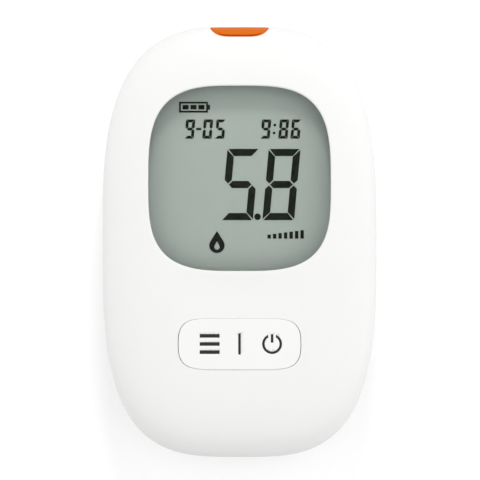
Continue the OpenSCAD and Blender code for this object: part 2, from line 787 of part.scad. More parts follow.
module strip_contacts() {
  spring_size = [strip_contact_w, 3.6, 0.18];
  y0 = connector_y0 + strip_contact_y[0];
  z1 = board_z - groove_roof;
  color("gold") for (k = [0 : strip_lines - 1]) translate([strip_line(k), 0, 0]) {
    mid_block(strip_contact_w / 2, y0, connector_y1 - strip_contact_y[1], z1 - strip_contact_t, z1);
    translate([-strip_contact_w / 2, y0, z1 - strip_contact_t]) rotate([-16, 0, 0]) cube(spring_size);
  }
}

module circuit_board() {
  color("darkgreen") difference() {
    translate([0, wide_row, board_z]) linear_extrude(board_t)
      polygon(case_outline(front_wall + board_clear));
    mid_block(port_w / 2 + port_flange_w + case_gap, connector_y1, far, board_z - 1, board_top_z + 1);
    at(case_screws_at) bar(tower_d + 0.5, board_z - 1, board_top_z + 1);
    at(board_screws_at) bar(board_screw_d + 0.2, board_z - 1, board_top_z + 1);
  }
}

// A chip of a given size under the board, with a row of legs on two sides
module chip(place, size, legs) {
  pitch = size[0] / (legs + 1);
  half_l = size[1] / 2;
  color([0.13, 0.13, 0.14]) translate([place[0], place[1], board_z]) {
    mid_block(size[0] / 2, -half_l, half_l, -size[2], -0.1);
    for (turn = [0, 180], k = [1 : legs]) rotate([0, 0, turn])
      translate([k * pitch - size[0] / 2, 0, 0]) mid_block(0.15, half_l - 0.2, half_l + 0.8, -0.35, 0);
  }
}

module microcontroller() {
  chip(microcontroller_at, microcontroller_size, 12);
}

module amplifier_chip() {
  chip(amplifier_at, amplifier_size, 5);
}

module memory_chip() {
  chip(memory_at, memory_size, 4);
}

module crystal() {
  pad = [1, 2.4];
  color("silver") translate([crystal_at[0], crystal_at[1], board_z]) {
    mid_block(crystal_size[0] / 2, -crystal_size[1] / 2, crystal_size[1] / 2, -crystal_size[2], -0.1);
    for (s = [-1, 1]) translate([s * (crystal_size[0] / 2 - 0.6), 0, 0])
      mid_block(pad[0] / 2, -pad[1] / 2, pad[1] / 2, -0.2, 0);
  }
}

module buzzer() {
  color([0.1, 0.1, 0.1]) translate([buzzer_at[0], buzzer_at[1], 0]) difference() {
    bar(buzzer_d, board_z - buzzer_h, board_z);
    bar(2, board_z - buzzer_h - 1, board_z - buzzer_h + 1);
  }
}

module board_passives() {
  color("tan") for (row = passive_rows, k = [0 : row[2] - 1])
    translate([row[0], parts_y + row[1] + k * passive_pitch, board_z - passive_size[2] / 2])
      cube(passive_size, center = true);
}

// A cell that lies along Y with its cap towards turn
module cell(x, turn) {
  cap_y = turn > 0 ? bay_y1 - plate_t : bay_y0 + plate_t;
  translate([x, cap_y, cell_z]) rotate([turn > 0 ? 90 : -90, 0, 0]) {
    cylinder(d = cap_d, h = cap_h + eps, $fn = 32);
    translate([0, 0, cap_h]) cylinder(d = cell_d, h = cell_l - cap_h, $fn = 64);
  }
}

module battery_cell_left() {
  color("silver") cell(-cell_x, 1);
}

module battery_cell_right() {
  color("silver") cell(cell_x, -1);
}

// A contact plate at the upper end of the bay, with a tab up to the board
module upper_plate(x) {
  translate([x, 0, 0]) {
    mid_block(plate_half, bay_y1 - plate_t, bay_y1, cell_z - plate_half, cell_z + plate_half);
    mid_block(tab_half, bay_y1 - plate_t, bay_y1, cell_z + plate_half - eps, board_z);
  }
}

module positive_contact() {
  color("lightsteelblue") upper_plate(-cell_x);
}

module negative_contact() {
  color("lightsteelblue") upper_plate(cell_x);
}

module bridge_contact() {
  color("lightsteelblue")
    mid_block(cell_x + plate_half, bay_y0, bay_y0 + plate_t, cell_z - plate_half, cell_z + plate_half);
}

// A conical contact spring along Y from y0 to y1, widest at y0
module contact_spring(x, y0, y1) {
  turns = 3;
  steps = 12 * turns;
  sides = 6;
  wide_r = 3.5;
  narrow_r = 1.5;
  way = sign(y1 - y0);
  travel = abs(y1 - y0) - wire_d;
  rings = [for (k = [0 : steps])
             let (u = k / steps, r = wide_r + (narrow_r - wide_r) * u, t = 360 * turns * u)
             let (y = y0 + way * (wire_d / 2 + travel * u))
               [for (j = [0 : sides - 1])
                  let (b = way * 360 * j / sides, q = r + wire_d / 2 * cos(b))
                    [x + q * cos(t), y + way * wire_d / 2 * sin(b), cell_z + q * sin(t)]]];
  loft(rings);
}

module battery_springs() {
  color("silver") {
    contact_spring(-cell_x, bay_y0 + plate_t, bay_y0 + plate_t + spring_l);
    contact_spring(cell_x, bay_y1 - plate_t, bay_y1 - plate_t - spring_l);
  }
}

module rating_label() {
  color("whitesmoke")
    mid_block(label_w / 2, label_y0, label_y0 + label_h, label_sink - label_t, label_sink);
}

// A screw that stands on its head at head_z, with a cross cut in the head
module screw(d, head_d, head_z, seat_z, tip_z, cut) {
  cut_depth = (seat_z - head_z) * 0.55;
  difference() {
    union() {
      bar(head_d, head_z, seat_z);
      bar(d, seat_z - eps, tip_z);
    }
    for (a = [0, 90]) rotate([0, 0, a])
      mid_block(head_d * 0.3, -cut / 2, cut / 2, head_z - 1, head_z + cut_depth);
  }
}

module case_screws() {
  color("gray") at(case_screws_at)
    screw(screw_d, screw_head_d, screw_seat_z - screw_head_t, screw_seat_z, screw_seat_z + screw_l, 0.5);
}

module board_screws() {
  color("gray") at(board_screws_at)
    screw(board_screw_d, board_screw_head_d, board_z - board_screw_head_t, board_z,
          board_top_z + board_screw_l, 0.4);
}

front_cover();
rear_cover();
battery_cover();
display_window();
window_gasket();
display_front_glass();
display_figures();
display_rear_glass();
display_reflector();
display_holder();
elastomer_connector();
key_cap();
key_legends();
key_mat();
strip_port();
strip_connector();
strip_contacts();
circuit_board();
microcontroller();
amplifier_chip();
memory_chip();
crystal();
buzzer();
board_passives();
battery_cell_left();
battery_cell_right();
positive_contact();
negative_contact();
bridge_contact();
battery_springs();
rating_label();
case_screws();
board_screws();
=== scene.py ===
"""The looks of a hand-held blood glucose meter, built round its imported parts.

The meter lies on its back: Z points out of the display, Y towards the strip end. Sizes of new
pieces are in millimetres, and a finished piece is scaled to metres in its mesh.
"""

from __future__ import annotations

import logging
import math
from collections.abc import Callable, Sequence
from dataclasses import dataclass, replace
from enum import Enum
from functools import cache

import bmesh
import bpy
import numpy as np
from mathutils import Matrix, Vector


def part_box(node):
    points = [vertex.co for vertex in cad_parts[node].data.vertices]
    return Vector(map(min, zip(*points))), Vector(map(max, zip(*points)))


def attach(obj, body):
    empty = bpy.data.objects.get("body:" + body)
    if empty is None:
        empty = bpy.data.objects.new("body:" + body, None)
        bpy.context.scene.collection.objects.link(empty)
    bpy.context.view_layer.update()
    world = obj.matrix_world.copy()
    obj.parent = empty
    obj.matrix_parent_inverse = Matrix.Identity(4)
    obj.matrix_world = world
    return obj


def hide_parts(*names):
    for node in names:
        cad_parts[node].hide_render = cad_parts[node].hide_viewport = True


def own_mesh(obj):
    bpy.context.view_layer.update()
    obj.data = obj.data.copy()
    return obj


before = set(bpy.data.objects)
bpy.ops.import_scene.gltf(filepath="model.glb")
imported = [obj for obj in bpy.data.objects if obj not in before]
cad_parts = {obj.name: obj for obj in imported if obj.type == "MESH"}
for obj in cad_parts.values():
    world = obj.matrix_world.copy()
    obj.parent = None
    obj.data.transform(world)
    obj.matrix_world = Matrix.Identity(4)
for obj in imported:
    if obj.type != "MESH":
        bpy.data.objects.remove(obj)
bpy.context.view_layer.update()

LOG = logging.getLogger("meter")
MM = 0.001
Colour = tuple[float, float, float]
Point = tuple[float, float, float]


# Shader kit


class Wire:
    """A socket that takes part in sums: each operation on values adds a Math node."""

    def __init__(self, shader: Shader, socket: bpy.types.NodeSocket) -> None:
        """Wraps a node's output socket of one shader."""
        self.shader = shader
        self.socket = socket

    def math(self, operation: str, *values: Wire | float) -> Wire:
        """The result of a Math node.

        Args:
            operation: the node's operation.
            values: its inputs, in order.

        Returns:
            The node's output.
        """
        return self.shader.node("ShaderNodeMath", {"operation": operation}, dict(enumerate(values)))

    def __add__(self, other: Wire | float) -> Wire:
        """self + other."""
        return self.math("ADD", self, other)

    def __radd__(self, other: float) -> Wire:
        """other + self."""
        return self.math("ADD", other, self)

    def __sub__(self, other: Wire | float) -> Wire:
        """self - other."""
        return self.math("SUBTRACT", self, other)

    def __rsub__(self, other: float) -> Wire:
        """other - self."""
        return self.math("SUBTRACT", other, self)

    def __mul__(self, other: Wire | float) -> Wire:
        """self * other."""
        return self.math("MULTIPLY", self, other)

    def __rmul__(self, other: float) -> Wire:
        """other * self."""
        return self.math("MULTIPLY", other, self)

    def __truediv__(self, other: Wire | float) -> Wire:
        """self / other."""
        return self.math("DIVIDE", self, other)

    def __rtruediv__(self, other: float) -> Wire:
        """other / self."""
        return self.math("DIVIDE", other, self)

    def __pow__(self, other: Wire | float) -> Wire:
        """self ** other."""
        return self.math("POWER", self, other)

    def __mod__(self, other: float) -> Wire:
        """self % other."""
        return self.math("FLOORED_MODULO", self, other)

    def __abs__(self) -> Wire:
        """abs(self)."""
        return self.math("ABSOLUTE", self)

    def least(self, other: Wire | float) -> Wire:
        """The smaller of two."""
        return self.math("MINIMUM", self, other)

    def most(self, other: Wire | float) -> Wire:
        """The larger of two."""
        return self.math("MAXIMUM", self, other)

    def over(self, edge: float, soft: float) -> Wire:
        """0 below edge and 1 above it, with a soft step of that width."""
        settings = {"interpolation_type": "SMOOTHSTEP"}
        values = {"Value": self, "From Min": edge - soft / 2, "From Max": edge + soft / 2}
        return self.shader.node("ShaderNodeMapRange", settings, values)


class MixSocket(Enum):
    """Numbers of the sockets that a Mix node uses for colours."""

    SHARE = 0
    LOW = 6
    HIGH = 7
    RESULT = 2


class Shader:
    """The node tree of one material or world, with the calls that build it."""

    def __init__(self, owner: bpy.types.Material | bpy.types.World) -> None:
        """Empties the owner's node tree and starts on it."""
        owner.use_nodes = True
        self.tree = owner.node_tree
        self.tree.nodes.clear()

    def node(self, kind: str, settings: dict | None = None, values: dict | None = None,
             out: int | str = 0) -> Wire:
        """Adds a node.

        Args:
            kind: the node's type.
            settings: its properties, or a ramp's stops under "stops"; these are set first.
            values: numbers or links of its sockets, by name or number.
            out: the output socket that is wanted.

        Returns:
            That output.
        """
        made = self.tree.nodes.new(kind)
        for key, value in (settings or {}).items():
            if key == "stops":
                self._set_stops(made.color_ramp, value)
            else:
                setattr(made, key, value)
        for key, value in (values or {}).items():
            if isinstance(value, Wire):
                self.tree.links.new(value.socket, made.inputs[key])
            else:
                made.inputs[key].default_value = value
        return Wire(self, made.outputs[out]) if made.outputs else Wire(self, None)

    @staticmethod
    def _set_stops(ramp: bpy.types.ColorRamp, stops: Sequence[tuple[float, Colour]]) -> None:
        """Gives a colour ramp its stops, lowest first.

        Args:
            ramp: the colour ramp.
            stops: places from 0 to 1, each with its colour.
        """
        while len(ramp.elements) < len(stops):
            ramp.elements.new(1.0)
        for element, (place, colour) in zip(ramp.elements, stops):
            element.position = place
            element.color = (*colour, 1.0)

    def place(self, centre: Point = (0, 0, 0)) -> Wire:
        """Object coordinates in millimetres, measured from a centre in millimetres.

        Args:
            centre: the point that becomes the origin.

        Returns:
            The place.
        """
        source = self.node("ShaderNodeTexCoord", out="Object")
        shift = tuple(-c for c in centre)
        return self.node("ShaderNodeMapping", {"vector_type": "POINT"},
                         {"Vector": source, "Location": shift, "Scale": (1 / MM,) * 3})

    def axes(self, vector: Wire) -> tuple[Wire, Wire, Wire]:
        """The X, Y and Z of a vector."""
        split = self.node("ShaderNodeSeparateXYZ", None, {0: vector})
        outputs = split.socket.node.outputs
        return tuple(Wire(self, outputs[k]) for k in range(3))

    def noise(self, vector: Wire, size: float, detail: float = 2.0, rough: float = 0.5) -> Wire:
        """A noise of that grain size in millimetres, about 0.5."""
        return self.node("ShaderNodeTexNoise", None,
                         {"Vector": vector, "Scale": 1 / size, "Detail": detail, "Roughness": rough})

    def mix(self, share: Wire | float, low: Wire | Colour, high: Wire | Colour) -> Wire:
        """A colour between low and high.

        Args:
            share: how much of high there is.
            low: the colour at 0.
            high: the colour at 1.

        Returns:
            The mixed colour.
        """
        first, second = ((*end, 1.0) if isinstance(end, tuple) else end for end in (low, high))
        sockets = {MixSocket.SHARE.value: share, MixSocket.LOW.value: first,
                   MixSocket.HIGH.value: second}
        return self.node("ShaderNodeMix", {"data_type": "RGBA"}, sockets, out=MixSocket.RESULT.value)

    def cells(self, vector: Wire, size: float) -> Wire:
        """Distance to the nearest of scattered points, with that spacing in millimetres."""
        return self.node("ShaderNodeTexVoronoi", {"feature": "F1"},
                         {"Vector": vector, "Scale": 1 / size}, out="Distance")

    def stretched(self, vector: Wire, scale: Point) -> Wire:
        """A vector with each part multiplied by its own number."""
        return self.node("ShaderNodeVectorMath", {"operation": "MULTIPLY"}, {0: vector, 1: scale})

    def bump(self, height: Wire, depth: float) -> Wire:
        """A normal bent by a height from 0 to 1 that stands for a depth in millimetres."""
        return self.node("ShaderNodeBump", None, {"Height": height, "Distance": depth * MM})

    def principled(self, values: dict) -> Wire:
        """A Principled shader with some of its sockets set or linked."""
        return self.node("ShaderNodeBsdfPrincipled", None, values)

    def surface(self, shader: Wire) -> None:
        """Ends the tree in a material's or world's output.

        Args:
            shader: what the output shows.
        """
        kind = "ShaderNodeOutputMaterial"
        if any(n.type == "BACKGROUND" for n in self.tree.nodes):
            kind = "ShaderNodeOutputWorld"
        self.node(kind, None, {"Surface": shader})


def srgb(red: int, green: int, blue: int) -> Colour:
    """A colour of the screen, each part 0 to 255, as linear light."""
    parts = (c / 255 for c in (red, green, blue))
    return tuple(c / 12.92 if c <= 0.04045 else ((c + 0.055) / 1.055) ** 2.4 for c in parts)


# Finishes


@dataclass(frozen=True)
class Finish:
    """What every finish has: a name, and a material that is made once."""

    name: str

    @cache
    def material(self) -> bpy.types.Material:
        """The finish's material, made when it is first asked for."""
        made = bpy.data.materials.new("finish_" + self.name)
        shader = Shader(made)
        shader.surface(self.paint(shader))
        return made

    def paint(self, shader: Shader) -> Wire:
        """Builds the nodes and returns the shader output. Each finish has its own.

        Args:
            shader: the material's nodes.

        Returns:
            The shader's output.
        """
        raise NotImplementedError


@dataclass(frozen=True)
class MouldedPlastic(Finish):
    """Moulded plastic with a fine eroded grain and a faint mottling from the flow of the melt."""

    colour: Colour = (0.9, 0.9, 0.9)
    roughness: float = 0.38
    grain: float = 0.16       # size of the grain, mm
    relief: float = 0.004     # depth of the grain, mm
    mottle: float = 0.012     # how far the mottling darkens the colour
    handling: float = 0.06    # how far handled patches change the roughness
    shine: float = 0.5        # strength of the gloss

    def paint(self, shader: Shader) -> Wire:
        """Grain in the normal, flow marks in the colour and handled patches in the gloss.

        Args:
            shader: the material's nodes.

        Returns:
            The shader's output.
        """
        where = shader.place()
        flow = shader.noise(where, 9.0, 3.0, 0.6)
        fine = shader.noise(where, self.grain, 2.0, 0.6)
        patches = shader.noise(where, 3.2, 3.0, 0.55)
        dark = tuple(c * (1 - self.mottle * 2) for c in self.colour)
        colour = shader.mix(flow, dark, self.colour)
        gloss = (patches - 0.5) * self.handling + self.roughness + (fine - 0.5) * 0.05
        return shader.principled({"Base Color": colour, "Roughness": gloss,
                                  "Specular IOR Level": self.shine,
                                  "Normal": shader.bump(fine, self.relief)})


@dataclass(frozen=True)
class ClearGlass(Finish):
    """Clear glass or acrylic: see-through, with a gloss that grows at glancing angles."""

    glancing: float = 0.9     # gloss at the most glancing angle
    roughness: float = 0.02

    def paint(self, shader: Shader) -> Wire:
        """A see-through shader that turns glossy by the fifth power of the angle.

        Args:
            shader: the material's nodes.

        Returns:
            The shader's output.
        """
        clear = shader.node("ShaderNodeBsdfTransparent", None, {"Color": (0.985, 0.99, 0.985, 1)})
        smear = shader.noise(shader.place(), 4.0, 2.0, 0.6)
        gloss = shader.node("ShaderNodeBsdfGlossy", None,
                            {"Color": (1, 1, 1, 1), "Roughness": smear * 0.03 + self.roughness})
        facing = shader.node("ShaderNodeLayerWeight", None, {"Blend": 0.5}, out="Facing")
        share = facing ** 5.0 * self.glancing
        return shader.node("ShaderNodeMixShader", None, {0: share, 1: clear, 2: gloss})


@dataclass(frozen=True)
class DisplayPanel(Finish):
    """The grey-green layer behind the figures: a satin sheet with a very fine sparkle."""

    colour: Colour = (0.42, 0.47, 0.44)
    sparkle: float = 0.12     # size of the sparkle's grains, mm

    def paint(self, shader: Shader) -> Wire:
        """Fine grains and slow clouds in the colour, with hardly any gloss.

        Args:
            shader: the material's nodes.

        Returns:
            The shader's output.
        """
        where = shader.place()
        grains = shader.noise(where, self.sparkle, 1.0, 0.5)
        clouds = shader.noise(where, 14.0, 2.0, 0.5)
        low = tuple(c * 0.95 for c in self.colour)
        high = tuple(c * 1.03 for c in self.colour)
        colour = shader.mix((grains + clouds) * 0.5, low, high)
        return shader.principled({"Base Color": colour, "Roughness": 0.6 + (grains - 0.5) * 0.1,
                                  "Specular IOR Level": 0.1, "Normal": shader.bump(grains, 0.002)})


@dataclass(frozen=True)
class PrintedInk(Finish):
    """The dark figures: a dense matt layer with slightly uneven edges of tone."""

    colour: Colour = (0.02, 0.02, 0.02)

    def paint(self, shader: Shader) -> Wire:
        """A nearly black coat whose density varies a little.

        Args:
            shader: the material's nodes.

        Returns:
            The shader's output.
        """
        density = shader.noise(shader.place(), 0.6, 3.0, 0.6)
        thin = tuple(c * 1.25 for c in self.colour)
        return shader.principled({"Base Color": shader.mix(density, self.colour, thin),
                                  "Roughness": 0.55 + (density - 0.5) * 0.1,
                                  "Specular IOR Level": 0.0})


@dataclass(frozen=True)
class Foam(Finish):
    """Closed-cell foam: small round cells that break the surface."""

    colour: Colour = (0.3, 0.3, 0.3)
    cell: float = 0.22        # size of a cell, mm

    def paint(self, shader: Shader) -> Wire:
        """Cells in the normal, with painted shade in their sunken middles.

        Args:
            shader: the material's nodes.

        Returns:
            The shader's output.
        """
        pores = shader.cells(shader.place(), self.cell)
        pale = tuple(c * 1.8 for c in self.colour)
        # painted shade: each cell's middle, which the bump sinks, gets the darker colour, and its rim the
        # paler one
        return shader.principled({"Base Color": shader.mix(pores, self.colour, pale),
                                  "Roughness": 0.9 - pores * 0.1, "Specular IOR Level": 0.2,
                                  "Normal": shader.bump(pores, 0.05)})


@dataclass(frozen=True)
class Silicone(Finish):
    """Moulded silicone rubber with a powdery bloom."""

    colour: Colour = (0.55, 0.56, 0.56)

    def paint(self, shader: Shader) -> Wire:
        """Bloom as pale specks, and a soft uneven skin.

        Args:
            shader: the material's nodes.

        Returns:
            The shader's output.
        """
        where = shader.place()
        specks = shader.noise(where, 0.35, 4.0, 0.7).over(0.6, 0.1)
        skin = shader.noise(where, 2.4, 3.0, 0.5)
        pale = tuple(min(1.0, c * 1.25) for c in self.colour)
        return shader.principled({"Base Color": shader.mix(specks * 0.5 + skin * 0.2, self.colour, pale),
                                  "Roughness": 0.55 + specks * 0.25, "Specular IOR Level": 0.4,
                                  "Normal": shader.bump(skin, 0.02)})


@dataclass(frozen=True)
class StripedElastomer(Finish):
    """A contact strip of thin conducting and insulating slices, side by side along X."""

    pitch: float = 0.36       # of a pair of slices, mm

    def paint(self, shader: Shader) -> Wire:
        """Dark and pale slices with a slight waviness.

        Args:
            shader: the material's nodes.

        Returns:
            The shader's output.
        """
        where = shader.place()
        x = shader.axes(where)[0]
        wave = shader.noise(where, 0.8, 2.0, 0.5)
        slices = ((x + wave * 0.06) % self.pitch).over(self.pitch / 2, self.pitch * 0.2)
        return shader.principled({"Base Color": shader.mix(slices, (0.03, 0.03, 0.032), (0.5, 0.5, 0.52)),
                                  "Roughness": 0.5 + slices * 0.2,
                                  "Normal": shader.bump(slices, 0.01)})


class Along(Enum):
    """The way that the fine lines of a metal run, as how much each axis stretches."""

    X = (0.04, 1.0, 1.0)
    Y = (1.0, 0.04, 1.0)
    Z = (1.0, 1.0, 0.04)
    NONE = (1.0, 1.0, 1.0)


@dataclass(frozen=True)
class PlatedMetal(Finish):
    """Rolled or drawn metal with a plating: fine lines, and duller stains here and there."""

    colour: Colour = (0.7, 0.69, 0.67)
    roughness: float = 0.28
    along: Along = Along.NONE
    line: float = 0.12        # distance of the lines, mm

    def paint(self, shader: Shader) -> Wire:
        """Lines in the normal and the gloss, stains in the colour.

        Args:
            shader: the material's nodes.

        Returns:
            The shader's output.
        """
        where = shader.place()
        lines = shader.noise(shader.stretched(where, self.along.value), self.line, 3.0, 0.6)
        stains = shader.noise(where, 1.8, 4.0, 0.65).over(0.58, 0.16)
        dull = tuple(c * 0.78 for c in self.colour)
        colour = shader.mix(stains * 0.6 + lines * 0.15, self.colour, dull)
        return shader.principled({"Base Color": colour, "Metallic": 1.0,
                                  "Roughness": self.roughness + (lines - 0.5) * 0.16 + stains * 0.14,
                                  "Normal": shader.bump(lines, 0.004)})


@dataclass(frozen=True)
class SolderMask(Finish):
    """A circuit board: green mask over raised copper tracks, with tinned holes."""

    mask: Colour = (0.012, 0.11, 0.035)
    track: Colour = (0.02, 0.2, 0.07)
    pitch: float = 1.27       # of the tracks, mm

    def paint(self, shader: Shader) -> Wire:
        """Tracks that run in patches along X or Y, and tinned holes at scattered points.

        Args:
            shader: the material's nodes.

        Returns:
            The shader's output.
        """
        where = shader.place()
        x, y, _ = shader.axes(where)
        turned = shader.noise(where, 7.0, 0.0).over(0.5, 0.01)
        across = x * turned + y * (1 - turned)
        tracks = 1 - abs(across % self.pitch - self.pitch / 2).over(self.pitch * 0.17, 0.04)
        bare = shader.noise(where, 4.6, 1.0).over(0.57, 0.01)
        tracks = tracks * (1 - bare)
        vias = 1 - shader.cells(where, 3.4).over(0.11, 0.02)
        weave = shader.noise(shader.stretched(where, (1.0, 1.0, 0.2)), 0.3, 2.0)
        colour = shader.mix(weave * 0.35 + tracks * 0.65, self.mask, self.track)
        colour = shader.mix(vias, colour, (0.62, 0.6, 0.55))
        return shader.principled({"Base Color": colour, "Metallic": vias,
                                  "Roughness": 0.32 + weave * 0.1,
                                  "Normal": shader.bump(tracks + vias, 0.035)})


@dataclass(frozen=True)
class ChipCase(Finish):
    """A moulded black chip with tinned legs that leave it along Y."""

    centre: Point = (0, 0, 0)
    half_l: float = 2.5       # from the middle to the side that the legs leave, mm

    def paint(self, shader: Shader) -> Wire:
        """Black epoxy with fine grain inside the body, and metal beyond it.

        Args:
            shader: the material's nodes.

        Returns:
            The shader's output.
        """
        where = shader.place(self.centre)
        y = shader.axes(where)[1]
        legs = abs(y).over(self.half_l + 0.02, 0.02)
        grain = shader.noise(where, 0.09, 3.0, 0.6)
        scuff = shader.noise(where, 1.1, 3.0, 0.6)
        body = shader.mix(scuff, (0.018, 0.018, 0.02), (0.035, 0.035, 0.037))
        return shader.principled({"Base Color": shader.mix(legs, body, (0.6, 0.6, 0.58)),
                                  "Metallic": legs, "Roughness": 0.62 - legs * 0.3 + (grain - 0.5) * 0.1,
                                  "Normal": shader.bump(grain, 0.008)})


@dataclass(frozen=True)
class CeramicParts(Finish):
    """Small fired parts with tinned ends; their middles stand in rows of known X."""

    rows: tuple[float, ...] = (0.0,)
    body_half: float = 0.52   # half the bare length of a part, mm

    def paint(self, shader: Shader) -> Wire:
        """Tan ceramic in the middle of each part and tin at its ends.

        Args:
            shader: the material's nodes.

        Returns:
            The shader's output.
        """
        where = shader.place()
        x = shader.axes(where)[0]
        away = abs(x - self.rows[0])
        for row in self.rows[1:]:
            away = away.least(abs(x - row))
        ends = away.over(self.body_half, 0.04)
        fired = shader.noise(where, 0.2, 3.0, 0.6)
        body = shader.mix(fired, (0.38, 0.26, 0.15), (0.5, 0.36, 0.22))
        return shader.principled({"Base Color": shader.mix(ends, body, (0.64, 0.63, 0.6)),
                                  "Metallic": ends * 0.9, "Roughness": 0.5 - ends * 0.15 + fired * 0.1,
                                  "Normal": shader.bump(fired, 0.01)})


@dataclass(frozen=True)
class CellSleeve(Finish):
    """A cell: bare steel ends and a plain printed film sleeve with one pale band."""

    centre: Point = (0, 0, 0)
    turn: int = 1             # 1 when the cap points along +Y, -1 when along -Y
    sleeve: tuple[float, float] = (-21.9, 20.7)  # from the middle to the sleeve's two ends, mm
    sleeve_r: float = 4.2     # the sleeve turns in over the ends as far as this

    def paint(self, shader: Shader) -> Wire:
        """Film between its two ends, and steel inside its turned edges.

        Args:
            shader: the material's nodes.

        Returns:
            The shader's output.
        """
        where = shader.place(self.centre)
        x, y, z = shader.axes(where)
        along = y * float(self.turn)
        reach = (x * x + z * z) ** 0.5
        film = reach.over(self.sleeve_r, 0.05)
        band = along.over(self.sleeve[1] - 9.0, 0.05)
        print_ = shader.noise(where, 0.25, 2.0, 0.5)
        scuffs = shader.noise(shader.stretched(where, (1.0, 0.2, 1.0)), 1.2, 4.0, 0.7).over(0.64, 0.1)
        dark = shader.mix(print_, (0.035, 0.05, 0.075), (0.045, 0.062, 0.09))
        pale = shader.mix(print_, (0.42, 0.44, 0.46), (0.5, 0.52, 0.54))
        sleeve = shader.mix(band, dark, pale)
        colour = shader.mix(film, (0.66, 0.65, 0.63), sleeve)
        metallic = 1 - film + film * band * 0.8
        gloss = 0.3 + scuffs * 0.25 - film * 0.05
        return shader.principled({"Base Color": colour, "Metallic": metallic, "Roughness": gloss,
                                  "Normal": shader.bump(print_, 0.003)})


@dataclass(frozen=True)
class LabelFilm(Finish):
    """Blank label stock: a pale silvery film with a soft brushed look and a thin border."""

    centre: Point = (0, 0, 0)
    border: tuple[float, float] = (14.2, 6.7)  # half the size of the printed border, mm
    stroke: float = 0.18

    def paint(self, shader: Shader) -> Wire:
        """Film with fine fibres, and one border line near its edge.

        Args:
            shader: the material's nodes.

        Returns:
            The shader's output.
        """
        where = shader.place(self.centre)
        x, y, _ = shader.axes(where)
        beyond = (abs(x) - self.border[0]).most(abs(y) - self.border[1])
        line = 1 - abs(beyond).over(self.stroke / 2, 0.05)
        fibres = shader.noise(shader.stretched(where, Along.X.value), 0.15, 3.0, 0.6)
        film = shader.mix(fibres, (0.66, 0.67, 0.68), (0.74, 0.75, 0.76))
        return shader.principled({"Base Color": shader.mix(line, film, (0.2, 0.21, 0.22)),
                                  "Roughness": 0.42 + fibres * 0.12,
                                  "Normal": shader.bump(fibres, 0.004)})


# Mesh kit


class Way(Enum):
    """How one form works on another."""

    ADD = "UNION"
    CUT = "DIFFERENCE"
    KEEP = "INTERSECT"


